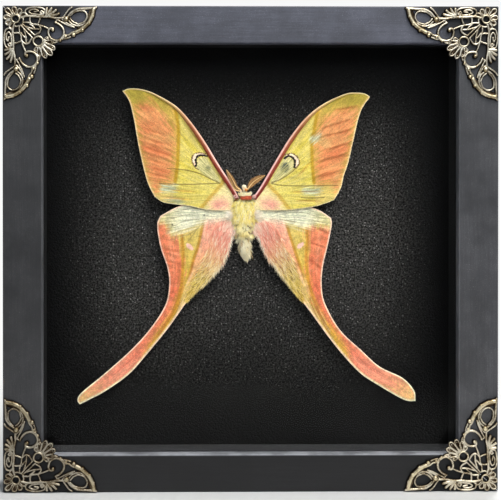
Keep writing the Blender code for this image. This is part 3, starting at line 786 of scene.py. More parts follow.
def forewing_scales(side):
    """Yellow with a salmon outer band, ochre lines, a crescent, pale blue patches and a pink base."""
    made = Finish(f"forewing_scales_{side}", **SCALES)
    band = made.band
    streaks = streaked(made, 1.1, 0.10)
    coarse = streaked(made, 0.35, 0.03)
    rays = streaked(made, 2.6, 0.16)
    level = made.axis("Z") - MOTH_Z
    low_part = band(level, 20.0, 14.0)
    post = made.field("postmedial")
    # Beyond the outer line: an olive tip, salmon below it, and yellow near the hind edge.
    broad = made.noise(0.16, 3.0, 0.6, 0.4, made.place((0.6, 1, 1)))
    salmon = made.ramp(coarse * 0.5 + broad * 0.5, SALMONS)
    outer = made.coats(
        made.ramp(coarse, [(0.35, "#b09c3c"), (0.62, "#c6a64a")]),
        (band(post, 0.0, 4.5, 1.0, 0.0), "#dab054"),
        (low_part, made.mix(coarse, "#d6b854", "#e8d484")),
        (band(made.field("salmon") + band(streaks, 0.3, 0.7, -2.0, 2.0), -3.6, 3.4), salmon),
    )
    strokes = band(streaked(made, 2.4, 0.22, detail=2.0), 0.58, 0.64)
    base = band("antemedial", -3.0, 0.5, 1.0, 0.0)
    pink = made.field("pink") + band(rays, 0.3, 0.7, -3.6, 3.0)
    mist = band(streaks, 0.35, 0.6)
    blue = made.mix(mist, "#96a082", "#cedabe")
    blue = made.mix(band(level, 13.0, 10.5, 0.0, 0.6), blue, "#5c6c5c")
    blue_patch = made.field("blue") + band(rays, 0.3, 0.7, -1.6, 1.2)
    ragged = band(made.noise(1.1, 4.0, 0.7), 0.3, 0.7, -0.34, 0.34)
    reach = made.field("reach") / 75.0
    colour = made.coats(
        made.ramp(reach, FOREWING_YELLOWS),
        (band(coarse, 0.42, 0.62) * 0.4, "#e8d890"),
        (band(streaked(made, 0.8, 0.05), 0.5, 0.4) * low_part * 0.55, "#bea842"),
        (band(post, -0.5, 0.7), outer),
        (band(abs(post), 0.25, 1.5, 0.9, 0.0), "#b88e18"),
        (veinlets(made), "#8e6824"),
        (strokes * band("crescent", -6.0, -2.5, 0.0, 0.65), "#685424"),
        (base * 0.55, "#f7e2a8"),
        (band(abs(made.field("antemedial")), 0.3, 1.7, 0.75, 0.0), "#c09632"),
        (band(pink, -2.6, 1.4, 0.0, 0.9), "#ec9286"),
        (band(pink, 0.4, 2.6) * band(streaks, 0.48, 0.6, 0.0, 0.8), "#de7076"),
        (band(rays, 0.54, 0.64, 0.0, 0.6) * base, "#ffeecc"),
        (band(blue_patch, -1.6, 1.6, 0.0, 0.85), blue),
        (band("cell", -0.7, 0.7, 0.0, 0.9), made.mix(mist, "#b0ac6e", "#ded298")),
        (band("blotch", -0.9, 0.5) * band(streaks, 0.40, 0.55), "#4a544a"),
        (band(made.field("crescent") + ragged, 0.0, 0.4), "#fcdec0"),
        (band(made.field("halo") + ragged, 0.08, 0.5, 0.9, 0.0), "#604628"),
        (band(made.field("arc") + ragged * 0.8, 0.36, 0.72, 1.0, 0.0), "#140c0c"),
        (band("veins", 0.1, 0.5, 0.75, 0.0), "#685422"),
        # painted shade in the creases' valleys
        (made.field("crease") * 0.35, "#c46034"),
        (band("margin", 0.3, 1.3, 0.9, 0.0), "#f0c47e"),
        (band("edge", 0.15, 0.6, 0.8, 0.0), "#fae8ba"),
    )
    return scaled_wing(made, colour, streaks)


def hindwing_scales(side):
    """White at the front, pink by the body, then yellow between ochre lines, and a coral margin and tail."""
    made = Finish(f"hindwing_scales_{side}", **SCALES)
    band = made.band
    streaks = streaked(made, 1.6, 0.10)
    coarse = streaked(made, 0.5, 0.04)
    rays = streaked(made, 2.6, 0.16)
    strands = streaked(made, 1.9, 0.025, "margin")
    fibres = streaked(made, 1.0, 0.05, "spread", 1.2)
    reach = made.field("reach") / 125.0
    in_tail = band("reach", 44.0, 60.0)
    # The coral of the margin and the tail, in long strands there, ochre at the very tip.
    broad = made.mix(in_tail, coarse, strands)
    strength = in_tail * 0.35 + 0.25
    smears = made.noise(0.12, 3.0, 0.55, 1.4, made.place((0.4, 1, 1), (0, 0.5, 0)))
    smeared = band("reach", 44.0, 60.0, 0.3, 0.1)
    near_tip = reach + band(strands, 0.35, 0.65, -0.07, 0.07)
    coral = made.coats(
        made.ramp(reach, CORALS),
        (band(streaks, 0.45, 0.7, 0.0, 0.12), "#f4a480"),
        (band(broad, 0.52, 0.66) * strength, "#ce5c3c"),
        (band(broad, 0.46, 0.34) * strength, "#faac84"),
        (band(smears, 0.54, 0.68) * smeared, "#d45c42"),
        (band(smears, 0.46, 0.34) * smeared, "#f6a680"),
        (band(near_tip, 0.9, 1.02, 0.0, 0.9), "#e8c276"),
    )
    pink = made.mix(band(coarse, 0.45, 0.62) * 0.55, made.ramp(reach, HINDWING_PINKS), "#f2cea4")
    yellow = made.ramp(reach, HINDWING_YELLOWS)
    white = made.mix(
        band("reach", 28.0, 41.0, 0.0, 0.85),
        made.mix(band(fibres, 0.36, 0.6), "#bec09e", "#f6f0d0"),
        made.mix(band(fibres, 0.42, 0.58), "#bab070", "#eada9c"),
    )
    white_edge = made.field("white") + band(fibres, 0.35, 0.65, -0.9, 0.9)
    first_line = band(abs(made.field("first")), 0.3, 1.2, 0.85, 0.0)
    second_line = band(abs(made.field("second")), 0.3, 1.3, 1.0, 0.0)
    rim = made.mix(band("reach", 80.0, 118.0), "#fad6ba", "#fff4ce")
    colour = made.coats(
        made.mix(band("first", -0.6, 0.6), pink, yellow),
        (band(strands, 0.50, 0.6) * in_tail * 0.8, "#9e6616"),
        (band(made.field("coral") + band(rays, 0.3, 0.7, -2.0, 2.0), -1.8, 2.0), coral),
        (first_line * band("reach", 34.0, 46.0, 1.0, 0.0), "#ba8620"),
        (second_line * band("reach", 52.0, 68.0, 0.8, 0.0), "#c68a28"),
        (veinlets(made) * band("reach", 44.0, 60.0, 1.0, 0.25), "#966028"),
        (band(white_edge, -3.6, 2.6), white),
        (band("spot", -0.35, 0.3), "#f4beaa"),
        (band("veins", 0.06, 0.4, 0.42, 0.0), "#786e4e"),
        (band("specks", 0.3, 0.7, 0.8, 0.0), "#3c3830"),
        # painted shade in the creases' valleys
        (made.field("crease") * 0.28, "#cc5a38"),
        (band("inner", 0.6, 1.5, 0.9, 0.0) * band("reach", 26.0, 44.0), "#f6daa0"),
        (band("edge", 0.25, 0.95, 0.95, 0.0), rim),
    )
    return scaled_wing(made, colour, streaks, 0.08)


def rib_skin():
    """The thick front vein: crimson at the body, brown-pink along the wing, cream at the tip.
    A painted highlight runs along its leading side; painted shade darkens the other side and the edge.
    """
    made = Finish("rib_skin", Roughness=0.5, Specular_IOR_Level=0.25, Coat_Weight=0.08, Coat_Roughness=0.3)
    share = made.field("share")
    grain = made.noise(0.9, 3.0, 0.6)
    painted_highlight, lower = made.ramp(share, RIB_PAINTED_HIGHLIGHT), made.ramp(share, RIB_BELOW)
    colour = made.coats(
        lower,
        # painted highlight on the side of the tube that faces the leading edge
        (made.band("outer", 0.12, 0.6), painted_highlight),
        # painted shade: a dark line along the tube's very leading edge
        (made.band("outer", 0.86, 1.0, 0.0, 0.6), lower),
        (made.band(grain, 0.45, 0.75, 0.0, 0.35), "#b2705c"),
    )
    return made.drive(Base_Color=colour, Normal=made.bump(grain, 0.1, 0.5))


def tube(spine, radii, sides):
    """Rings of points about a spine, their faces, and how far each point leans to one side."""
    across = unit(np.cross(unit(np.gradient(spine, axis=0)), (0, 1, 0)))
    up = np.cross(across, unit(np.gradient(spine, axis=0)))
    turns = np.arange(sides) * 2 * math.pi / sides
    ring = np.cos(turns)[None, :, None] * across[:, None] + np.sin(turns)[None, :, None] * up[:, None]
    verts = (spine[:, None] + ring * np.array(radii)[:, None, None]).reshape(-1, 3)
    return verts, ring_faces(len(spine), sides, True), np.tile(np.cos(turns), len(spine))


# Shares of the way along a rib, and its radius there.
RIB_RADII = ((0.0, 1.05), (0.12, 1.25), (0.35, 1.3), (0.55, 1.15), (0.68, 0.75), (0.8, 0.45), (1.0, 0.3))
RIB_SIDES = 10


def add_rib(name, wing, material):
    """The front vein, a tapered tube just inside the wing's leading edge."""
    run = path(wing["costa"], 0.9)
    share = np.linspace(0, 1, len(run))
    radii = np.interp(share, *zip(*RIB_RADII))
    ahead = unit(np.gradient(run, axis=0))
    outward = outward_sign(wing)
    inward = np.stack([ahead[:, 1], -ahead[:, 0]], 1) * outward
    run = run + inward * radii[:, None] * 0.75
    height = FOREWING_HEIGHT + TIP_RISE * np.abs(run[:, 0]) + radii * 0.25
    verts, faces, lean = tube(on_board(run, height), radii * MM, RIB_SIDES)
    # outer says how far each point leans to the leading edge, where the rib's highlight is painted
    fields = {"share": np.repeat(share, RIB_SIDES), "outer": lean * outward}
    return smooth_object(name, verts, faces, material, fields)


# ---------------------------------------------------------------- down and hair
DOWN = {"Roughness": 0.7, "Specular_IOR_Level": 0.25, "Sheen_Weight": 0.1, "Sheen_Roughness": 0.5}
# A hair is a blade: pairs of points on its way up, with its share of the full width, then its tip.
BLADE_PAIRS = ((0.0, 0.7), (0.4, 1.0), (0.75, 0.7))
BLADE_TIPS = [share for share, _ in BLADE_PAIRS for _ in SIDES] + [1.0]
BLADE = len(BLADE_TIPS)
HAIR_TWIST = 0.45  # how far the way that a hair faces strays
HAIR_WIDTHS = (0.1, 0.2)  # the finest and the coarsest hair of the body and head


def blades(roots, directions, lengths, widths, bend, across, tints):
    """Thin curved blades that face one way each, with lengths and widths in millimetres."""
    directions, across = unit(directions), unit(across)
    lengths = (lengths * MM)[:, None]
    layers = []
    for share, thin in BLADE_PAIRS:
        middle = roots + (directions * share + bend * share**2) * lengths
        half = across * (widths * MM * thin / 2)[:, None]
        layers += [middle - half, middle + half]
    layers.append(roots + (directions + bend) * lengths)
    verts = np.stack(layers, 1).reshape(-1, 3)
    faces = []
    for s in range(0, len(verts), BLADE):
        faces += [(s, s + 1, s + 3, s + 2), (s + 2, s + 3, s + 5, s + 4), (s + 4, s + 5, s + 6)]
    return verts, faces, {"tint": np.repeat(tints, BLADE), "tip": np.tile(BLADE_TIPS, len(roots))}


def hairs(roots, directions, lengths, widths, bend, random, facing=(0.0, -1.0, 0.0)):
    """Blades turned roughly to one side, each with a twist and a tint of its own."""
    turned = np.array(facing) + random.normal(0, HAIR_TWIST, (len(roots), 3))
    across = np.cross(directions, turned)
    return blades(roots, directions, lengths, widths, np.array(bend), across, random.random(len(roots)))


def join_hairs(name, parts, material):
    """One piece from several lots of blades."""
    verts, faces, start = [], [], 0
    for lot_verts, lot_faces, _ in parts:
        faces += [tuple(i + start for i in face) for face in lot_faces]
        verts.append(lot_verts)
        start += len(lot_verts)
    fields = {key: np.concatenate([lot[2][key] for lot in parts]) for key in ("tint", "tip")}
    return smooth_object(name, np.vstack(verts), faces, material, fields)


def even_fields(verts, tint, tip):
    """A tint and a tip share that are the same all over a skin."""
    return {"tint": np.full(len(verts), tint), "tip": np.full(len(verts), tip)}


# Height up the body, then its middle, half width, centre height and depth there.
BODY_SECTIONS = [
    (12.0, -0.4, 1.0, 6.2, 1.2),
    (11.2, -0.6, 2.6, 6.0, 2.6),
    (10.2, -0.8, 5.2, 5.6, 3.9),
    (9.0, -0.8, 6.8, 5.4, 4.5),
    (4.0, -0.8, 7.5, 5.3, 4.9),
    (-1.0, -0.6, 7.1, 5.3, 4.8),
    (-5.0, -0.3, 6.4, 5.1, 4.6),
    (-8.6, -0.1, 5.2, 4.8, 4.2),
    (-11.0, 0.0, 3.4, 4.5, 3.5),
    (-13.0, 0.1, 3.0, 4.3, 3.3),
    (-15.4, 0.3, 3.5, 4.1, 3.4),
    (-17.6, 0.4, 2.6, 3.8, 2.6),
    (-19.6, 0.8, 1.5, 3.6, 1.6),
    (-24.0, 1.3, 0.3, 3.5, 0.5),
]
BODY_TOP, BODY_LOW = 11.9, -20.4
BODY_RINGS, BODY_AROUND = 90, 48


def skin(z, turn, swell):
    """Points of the body's skin at heights z and turns about its length."""
    heights, *table = np.array(BODY_SECTIONS[::-1]).T
    middle, half, centre, deep = (np.interp(z, heights, row) for row in table)
    x = middle + half * swell * np.cos(turn)
    return on_board(np.stack([x, z], 1), centre + deep * swell * np.sin(turn))


def fur_material():
    """Down whose colour changes down the body, ochre here and there, with painted shade at the roots
    and between the abdomen's tufts.
    """
    made = Finish("body_down", **DOWN)
    z = made.axis("Z") - MOTH_Z
    stops = [
        (0.0, "#fff2cc"), (0.28, "#fff4cc"), (0.38, "#feea9c"), (0.5, "#fff2b6"), (0.64, "#feea8c"),
        (1.0, "#ffee8a"),
    ]
    tuft_gap_shade = made.noise(0.45, 3.0, 0.65, where=made.place((1, 1, 0.6)))
    stepped = made.band(z, 5.0, 0.0) * made.band(z, -18.0, -12.0)
    colour = made.coats(
        made.ramp(made.band(z, -26.0, 14.0), stops),
        # painted shade: brown in the gaps between the abdomen's tufts
        (made.band(tuft_gap_shade, 0.56, 0.66, 0.0, 0.6) * stepped, "#b07e36"),
        (made.band("tint", 0.55, 1.0, 0.0, 0.8), "#fffae2"),
        (made.band("tint", 0.34, 0.05, 0.0, 0.8), "#d6ac4a"),
        # painted shade at the hair roots
        (made.band("tip", 0.0, 0.4, 0.9, 0.0), "#583812"),
    )
    return made.drive(Base_Color=colour)


def add_body(random):
    """A lumpy core under a coat of down: thorax, stepped abdomen and tail tuft."""
    down = fur_material()
    levels = np.linspace(BODY_TOP, BODY_LOW, BODY_RINGS)
    turns = np.arange(BODY_AROUND) * 2 * math.pi / BODY_AROUND
    z, turn = (grid.ravel() for grid in np.meshgrid(levels, turns, indexing="ij"))
    lump = 1 + 0.05 * np.sin(z * 1.7 + 2 * turn) + 0.05 * np.sin(z * 0.9 - 3 * turn)
    verts = skin(z, turn, 0.82 * lump)
    faces = ring_faces(BODY_RINGS, BODY_AROUND)
    # the core takes the down's root colour, its painted shade
    core = smooth_object("body_core", verts, faces, down, even_fields(verts, 0.1, 0.0))
    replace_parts(core, "body")
    lots = [thorax_down(random), *(tuft_down(random, *band) for band in TUFT_BANDS)]
    join_hairs("body_down", lots, down)


def outwards(turn):
    """Unit directions out of the body for turns about its length."""
    return np.stack([np.cos(turn), -np.sin(turn), np.zeros(len(turn))], 1)


def thorax_down(random, count=6500):
    """Fine hair combed down the thorax, parted into locks."""
    z = random.uniform(-2.0, 10.9, count)
    turn = random.uniform(-0.35, math.pi + 0.35, count)
    outward = outwards(turn)
    lock = np.sin(turn * 13 + 1.3 * np.sin(z * 0.7)) + 0.6 * np.sin(turn * 29 + z)
    lift = 0.20 + 0.07 * lock
    direction = (0.0, 0.0, -1.0) + outward * lift[:, None] + random.normal(0, 0.12, (count, 3))
    length = random.uniform(1.4, 2.7, count)
    width = random.uniform(*HAIR_WIDTHS, count)
    made = hairs(skin(z, turn, 0.88), direction, length, width, -outward * 0.12, random, outward)
    shade = np.clip(0.58 + 0.16 * lock + random.normal(0, 0.2, count), 0.05, 1)
    made[2]["tint"] = np.repeat(shade, BLADE)
    return made


# From and to heights, how many tufts, their reach, how far they stray sideways, their lift, and the
# hairs in each.
TUFT_BANDS = [
    (0.0, 9.6, 150, (1.6, 2.8), 0.4, 0.24, 40),
    (-9.0, 1.5, 140, (1.7, 3.0), 0.5, 0.36, 36),
    (-14.0, -8.0, 76, (1.8, 3.0), 0.35, 0.3, 38),
    (-16.5, -12.0, 90, (2.2, 3.4), 0.14, 0.2, 44),
    (-20.0, -16.0, 44, (2.6, 4.0), 0.16, 0.2, 52),
    (-18.0, -12.0, 50, (3.2, 4.8), 0.34, 0.36, 8),
]
TUFT_AIM = (1.4, -24.0), 3.6  # the place and height that every tuft points towards


def tuft_down(random, low, high, tufts, reach, stray, lift, each):
    """Tufts of down, each drawn together at its tip."""
    count = tufts * each
    centre_z = random.uniform(low, high, tufts)
    centre_turn = random.uniform(-0.25, math.pi + 0.25, tufts)
    z = np.repeat(centre_z, each) + random.normal(0, 0.6, count)
    turn = np.repeat(centre_turn, each) + random.normal(0, 0.17, count)
    roots = skin(np.clip(z, -22.6, 10.6), turn, 0.84)
    home = skin(centre_z, centre_turn, 0.9)
    outward = outwards(centre_turn)
    place, height = TUFT_AIM
    downward = unit(on_board(np.array([place]), np.array([height])) - home)
    aim = downward + outward * (lift * random.uniform(0.5, 1.3, tufts))[:, None]
    aim[:, 0] += random.normal(0, stray, tufts)
    far = random.uniform(*reach, tufts) * MM
    tips = np.repeat(home + aim * far[:, None], each, 0) + random.normal(0, 0.3 * MM, (count, 3))
    direction = tips - roots
    length = np.linalg.norm(direction, axis=1) / MM * random.uniform(0.75, 1.1, count)
    width = random.uniform(*HAIR_WIDTHS, count)
    facing = np.repeat(outward, each, 0)
    made = hairs(roots, direction, length, width, -facing * 0.1, random, facing)
    tone = np.repeat(random.uniform(0.05, 1.0, tufts), each * BLADE)
    made[2]["tint"] = 0.4 * made[2]["tint"] + 0.6 * tone
    return made


def plain_down(name, base, pale, dark):
    """Down of one colour, paler and darker from hair to hair, with painted shade at the roots."""
    made = Finish(name, **DOWN)
    colour = made.coats(
        base,
        (made.band(made.noise(0.8, 3.0, 0.6), 0.35, 0.65, 0.0, 0.5), pale),
        (made.band("tint", 0.5, 1.0, 0.0, 0.8), pale),
        (made.band("tint", 0.35, 0.0, 0.0, 0.6), dark),
        # painted shade at the hair roots
        (made.band("tip", 0.0, 0.4, 0.5, 0.0), dark),
    )
    return made.drive(Base_Color=colour)


def puff(centre, height, radius, count, length, random):
    """Short hair all round a small ball at a place on the moth."""
    out = unit(random.normal(0, 1, (count, 3)))
    roots = on_board(np.array([centre]), np.array([height])) + out * radius * 0.6 * MM
    aim = out + random.normal(0, 0.35, (count, 3))
    long = random.uniform(0.6, 1.1, count) * length
    return hairs(roots, aim, long, random.uniform(*HAIR_WIDTHS, count), (0.0, 0.0, -0.15), random)


def ball(name, centre, height, radii, material):
    """A small smooth rounded form, a little uneven like a dried insect's skin."""
    rows, columns = 14, 20
    polar, turn = np.meshgrid(
        np.arange(rows + 1) * math.pi / rows, np.arange(columns) * 2 * math.pi / columns, indexing="ij"
    )
    uneven = 1 + 0.04 * np.sin(5 * turn + 3 * polar) * np.sin(polar)
    out = np.stack([np.sin(polar) * np.cos(turn), np.cos(polar), np.sin(polar) * np.sin(turn)], -1)
    shape = (out * radii * uneven[..., None]).reshape(-1, 3) * MM
    verts = shape + on_board(np.array([centre]), np.array([height]))
    faces = ring_faces(rows + 1, columns)[:-2]
    piece = smooth_object(name, verts, faces, material, even_fields(verts, 0.5, 0.3))
    weld(piece.data)
    return piece


def weld(mesh):
    """Joins points that share a place, as at the poles of a ball."""
    work = bmesh.new()
    work.from_mesh(mesh)
    bmesh.ops.remove_doubles(work, verts=work.verts, dist=1e-6)
    bmesh.ops.recalc_face_normals(work, faces=work.faces)
    work.to_mesh(mesh)
    work.free()


COLLAR_HEIGHT, COLLAR_RISE = 6.6, 3.8  # off the board at an arc's ends, and the climb between them


def collar_hair(random, count, middle, half, levels, sweep, length, width, upwards):
    """Short hair along an arc over the front of the thorax, pointing down or up."""
    turn = np.radians(random.uniform(sweep, 180 - sweep, count))
    level = levels[0] + (levels[1] - levels[0]) * random.random(count)
    places = np.stack([middle + half * np.cos(turn), level], 1)
    roots = on_board(places, COLLAR_HEIGHT + COLLAR_RISE * np.sin(turn) ** 0.6)
    out = 0.05 if upwards else 0.12
    aim = np.stack([out * np.cos(turn), -out * np.sin(turn), np.full(count, 1.0 if upwards else -1.0)], 1)
    aim += random.normal(0, 0.22 if upwards else 0.1, (count, 3))
    bend = (0.0, 0.12 if upwards else -0.1, 0.0)
    long = random.uniform(*length, count)
    return hairs(roots, aim, long, np.full(count, width), bend, random, outwards(turn))


def shoulder_hair(random, sign, count=130):
    """A few long hairs from the body out over the hindwing's white band."""
    z = random.triangular(-1.0, 1.6, 4.4, count)
    x = sign * (6.1 + random.uniform(-0.8, 0.9, count)) - 0.7
    roots = on_board(np.stack([x, z], 1), random.uniform(7.7, 8.8, count))
    aim = np.stack([sign * random.uniform(0.5, 1.2, count), -random.uniform(-0.1, 0.2, count), z * 0.0], 1)
    aim[:, 2] = random.normal(-0.05, 0.25, count)
    long = random.uniform(1.0, 4.6, count)
    return hairs(roots, aim, long, random.uniform(0.08, 0.16, count), (0.0, 0.12, -0.1), random)


def speckled(name, roughness, dark, pale, grain, relief):
    """A skin mottled between two colours. grain makes its pattern from the finish."""
    made = Finish(name, Roughness=roughness)
    pattern = grain(made)
    return made.drive(Base_Color=made.mix(pattern, dark, pale), Normal=made.bump(pattern, *relief))


def add_head(random):
    """Furry head with dark eyes and a pale crown, over a red collar with a cream fringe."""
    cream = plain_down("head_down", "#ffeec4", "#fffcec", "#e4b47a")
    amber = speckled("amber_face", 0.45, "#d67828", "#f6aa54", lambda made: made.noise(1.5), (0.1, 0.5))
    dark = speckled("eye_facets", 0.25, "#3c2416", "#785034", lambda made: made.cells(5.0), (0.03, 0.6))
    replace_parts(ball("head_core", (0.0, 14.6), 7.4, (1.4, 1.9, 1.6), cream), "head")
    ball("eye_left", (-1.35, 14.3), 7.9, (0.7, 0.9, 0.8), dark)
    ball("eye_right", (1.55, 14.4), 7.9, (0.7, 0.9, 0.8), dark)
    ball("crown", (-0.45, 16.2), 8.8, (1.15, 1.15, 1.0), cream)
    ball("face", (0.5, 14.6), 9.3, (0.7, 0.75, 0.75), amber)
    lots = [
        puff((0.0, 14.5), 7.4, 1.4, 420, 0.9, random),
        puff((-0.45, 16.2), 8.8, 1.25, 500, 0.5, random),
        puff((-2.1, 13.9), 9.0, 0.5, 150, 0.7, random),
        puff((2.9, 13.0), 9.0, 0.35, 90, 0.9, random),
    ]
    join_hairs("head_down", lots, cream)

    red = plain_down("collar_red", "#b03a1e", "#de764a", "#54140c")
    pale = plain_down("fringe_down", "#fff0ba", "#fffcde", "#ffd696")
    collar = collar_hair(random, 1000, 0.5, 2.9, (10.6, 11.6), 22, (0.9, 1.4), 0.2, False)
    fringe = collar_hair(random, 800, -0.1, 3.3, (11.3, 12.0), 20, (0.8, 1.7), 0.18, True)
    join_hairs("collar_red_down", [collar], red)
    join_hairs("collar_fringe", [fringe], pale)

    cream_white = plain_down("shoulder_down", "#fff4de", "#fffcec", "#e2c4a0")
    rose = plain_down("knot_down", "#f8beb0", "#fff0e8", "#963c32")
    for side, sign, knot in (("left", -1, (-4.9, 11.3)), ("right", 1, (4.7, 11.2))):
        join_hairs(f"shoulder_knot_{side}", [puff(knot, 9.0, 0.8, 320, 0.7, random)], rose)
        join_hairs(f"shoulder_down_{side}", [shoulder_hair(random, sign)], cream_white)


BARB_PAIRS = 40
BARB_OUT, BARB_AHEAD = 0.8, 0.62  # how far a barb leans outward and towards the tip
SHAFT_SIDES = 8
SHAFT_HEIGHTS = (8.8, 9.6)  # off the board, at an antenna's root and tip
# Along each antenna's shaft, then how far its barbs reach on either side.
ANTENNAE = {
    "left": ([(-2.2, 14.6), (-4.4, 16.2), (-6.0, 19.2), (-7.5, 21.8), (-9.5, 25.0)], (1.25, 2.2)),
    "right": ([(1.3, 14.8), (3.0, 17.2), (4.4, 18.7), (7.0, 20.5), (10.2, 22.0)], (2.0, 2.1)),
}
FRONT_ROW = [(-2.0, 13.9), (-4.4, 14.3), (-5.9, 15.6), (-7.2, 18.6), (-8.5, 22.0)]


def add_shaft(name, spine, radii, tint, material):
    verts, faces, _ = tube(spine, radii * MM, SHAFT_SIDES)
    return smooth_object(name, verts, faces, material, even_fields(verts, tint, 1.0))


def add_antenna(side, shaft, reaches, barb_finish, shaft_finish):
    """A feathered antenna: a thin shaft with close rows of barbs on both sides."""
    name = f"antenna_{side}_feathered"
    run = path(shaft, 0.3)
    spine = on_board(run, np.linspace(*SHAFT_HEIGHTS, len(run)))
    span = np.linspace(0, 1, len(run))
    radii = np.interp(span, (0, 0.15, 1), (0.36, 0.24, 0.10))
    add_shaft(name + "_shaft", spine + np.array((0, -0.15 * MM, 0)), radii, 0.6, shaft_finish)
    share = np.linspace(0.04, 0.98, BARB_PAIRS)
    at = np.stack([np.interp(share, span, spine[:, k]) for k in range(3)], 1)
    ahead = unit(np.gradient(at, axis=0))
    side_ways = np.cross(ahead, (0, 1, 0))
    envelope = np.interp(share, (0, 0.1, 0.3, 0.55, 0.8, 1), (0.35, 0.75, 1.0, 0.86, 0.5, 0.1))
    shade = 0.5 + 0.45 * np.sin(np.arange(BARB_PAIRS) * 2.4)
    lots = []
    for sign, reach in zip((-1, 1), reaches):
        lean = side_ways * sign * BARB_OUT + ahead * BARB_AHEAD
        length = np.maximum(reach * envelope / BARB_OUT, 0.2)
        bend = ahead * 0.22 + np.array((0, -0.08, 0))
        width = np.full(BARB_PAIRS, 0.2)
        lots.append(blades(at, lean, length, width, bend, np.cross(lean, (0, 1, 0)), shade))
    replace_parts(join_hairs(name, lots, barb_finish), f"antenna_{side}")


def add_antennae():
    brown = plain_down("antenna_barbs", "#8e6034", "#ce9e62", "#4e301a")
    gold = plain_down("antenna_shaft", "#e8ba74", "#fadea4", "#966436")
    for side, (shaft, reaches) in ANTENNAE.items():
        add_antenna(side, shaft, reaches, brown, gold)
    row = path(FRONT_ROW, 0.3)
    spine = on_board(row, np.full(len(row), 8.9))
    add_shaft("antenna_left_front_row", spine, np.linspace(0.34, 0.1, len(row)), 0.7, gold)


INNER_HAIRS = 4200
FRINGE_SHARE = 0.36  # the part of a hindwing's hair that fringes its edge
INNER_LOW, INNER_HIGH = -43, 1  # the stretch of the inner edge that carries hair
INNER_DEPTH = 10  # how far in from the edge it starts
TAPER_LOW, TAPER_RUN = -45, 20  # where its lower end runs out, and over what length


def inner_hair_material(name):
    """Cream at the body, rose, then yellow towards the tail, with pale and deep hairs."""
    made = Finish(name + "_hair", **DOWN)
    reach = made.field("away") / 50.0
    stops = [
        (0.0, "#fff4e0"), (0.1, "#fcd6be"), (0.18, "#f6a892"), (0.3, "#f6a88e"), (0.5, "#f0ca8c"),
        (0.75, "#e8cc6a"), (1.0, "#deb84e"),
    ]
    edge_tone = made.ramp(reach, [(0.0, "#fff8e8"), (0.5, "#fceccc"), (0.9, "#eed480")])
    pale = made.ramp(reach, [(0.0, "#fff4da"), (0.6, "#fff4ce"), (1.0, "#f6da7c")])
    deep = made.ramp(reach, [(0.0, "#e29680"), (0.4, "#d4765a"), (0.68, "#78501e")])
    colour = made.coats(
        made.ramp(reach, stops),
        (made.field("fringe"), edge_tone),
        (made.band("tint", 0.58, 0.8, 0.0, 0.75), pale),
        (made.band("tint", 0.44, 0.16, 0.0, 0.85), deep),
    )
    return made.drive(Base_Color=colour)


def add_inner_hair(name, wing, random):
    """Long soft hair that lies along a hindwing's inner part and fringes its edge."""
    outward = outward_sign(wing)
    count = INNER_HAIRS
    run = path(wing["inner"], 0.5)[::-1]
    run = run[(run[:, 1] > INNER_LOW) & (run[:, 1] < INNER_HIGH)]
    pick = random.integers(0, len(run) - 1, count)
    fringe = random.random(count) < FRINGE_SHARE
    rim, deep = random.uniform(0, 0.8, count), random.uniform(0, 1, count) ** 1.3 * INNER_DEPTH
    depth = np.where(fringe, rim, deep)
    taper = np.clip((run[pick, 1] - TAPER_LOW) / TAPER_RUN, 0.2, 1)
    depth *= taper
    tangent = unit(np.gradient(run, axis=0)[pick])
    inward = np.stack([-tangent[:, 1], tangent[:, 0]], 1) * (-outward)
    inward *= np.sign(inward[:, :1]) * outward
    spots = run[pick] + inward * depth[:, None] + tangent * random.normal(0, 0.5, count)[:, None]
    spots[:, 1] = np.minimum(spots[:, 1], -1.6 - 4.5 * random.random(count))
    droop = HINDWING_HEIGHT + TAIL_DROOP * np.minimum(0, spots[:, 1])
    roots = on_board(spots, droop + random.uniform(0.0, 0.5, count))
    clump = np.sin(spots[:, 0] * 1.9 + 2 * np.sin(spots[:, 1] * 0.8)) * np.sin(spots[:, 1] * 1.1)
    spray = np.where(fringe, random.uniform(0.2, 1.1, count), random.normal(0, 0.15, count))
    spray += np.where(fringe, 0.0, 0.28 * clump)
    flat = tangent - inward * spray[:, None]
    rise = np.where(fringe, random.normal(0.0, 0.25, count), random.uniform(0.05, 0.22, count))
    direction = np.stack([flat[:, 0], -rise, flat[:, 1]], 1) + random.normal(0, 0.06, (count, 3))
    length = np.where(fringe, random.uniform(1.4, 3.6, count), random.uniform(2.2, 5.0, count)) * taper**0.5
    width = np.where(fringe, random.uniform(0.08, 0.16, count), random.uniform(0.16, 0.36, count))
    verts, faces, fields = hairs(roots, direction, length, width, (0.0, 0.06, -0.05), random)
    fields["away"] = np.repeat(np.hypot(*(spots - np.array(wing["root"][0])).T), BLADE)
    fields["fringe"] = np.repeat(fringe.astype(float), BLADE)
    fields["tint"] = 0.62 * fields["tint"] + 0.19 * np.repeat(1 + clump, BLADE)
    smooth_object(name, verts, faces, inner_hair_material(name), fields)


def finish_moth():
    random = np.random.default_rng(7)
    fore_marks = ("postmedial", "antemedial", "arc", "halo", "veins")
    hind_marks = ("first", "second", "veins")
    rib = rib_skin()
    pairs = (FOREWING_LEFT, HINDWING_LEFT), (FOREWING_RIGHT, HINDWING_RIGHT)
    for side, (fore, hind) in zip(SIDES, pairs):
        name, scales = f"forewing_{side}", forewing_scales(side)
        wing = add_wing(name + "_scaled", fore, FOREWING_EDGES, forewing_fields, fore_marks, scales, random)
        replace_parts(wing, name)
        add_rib(name + "_rib", fore, rib)
        name, scales = f"hindwing_{side}", hindwing_scales(side)
        wing = add_wing(name + "_scaled", hind, HINDWING_EDGES, hindwing_fields, hind_marks, scales, random)
        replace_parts(wing, name)
        add_inner_hair(name + "_hair", hind, random)
    add_body(random)
    add_head(random)
    add_antennae()


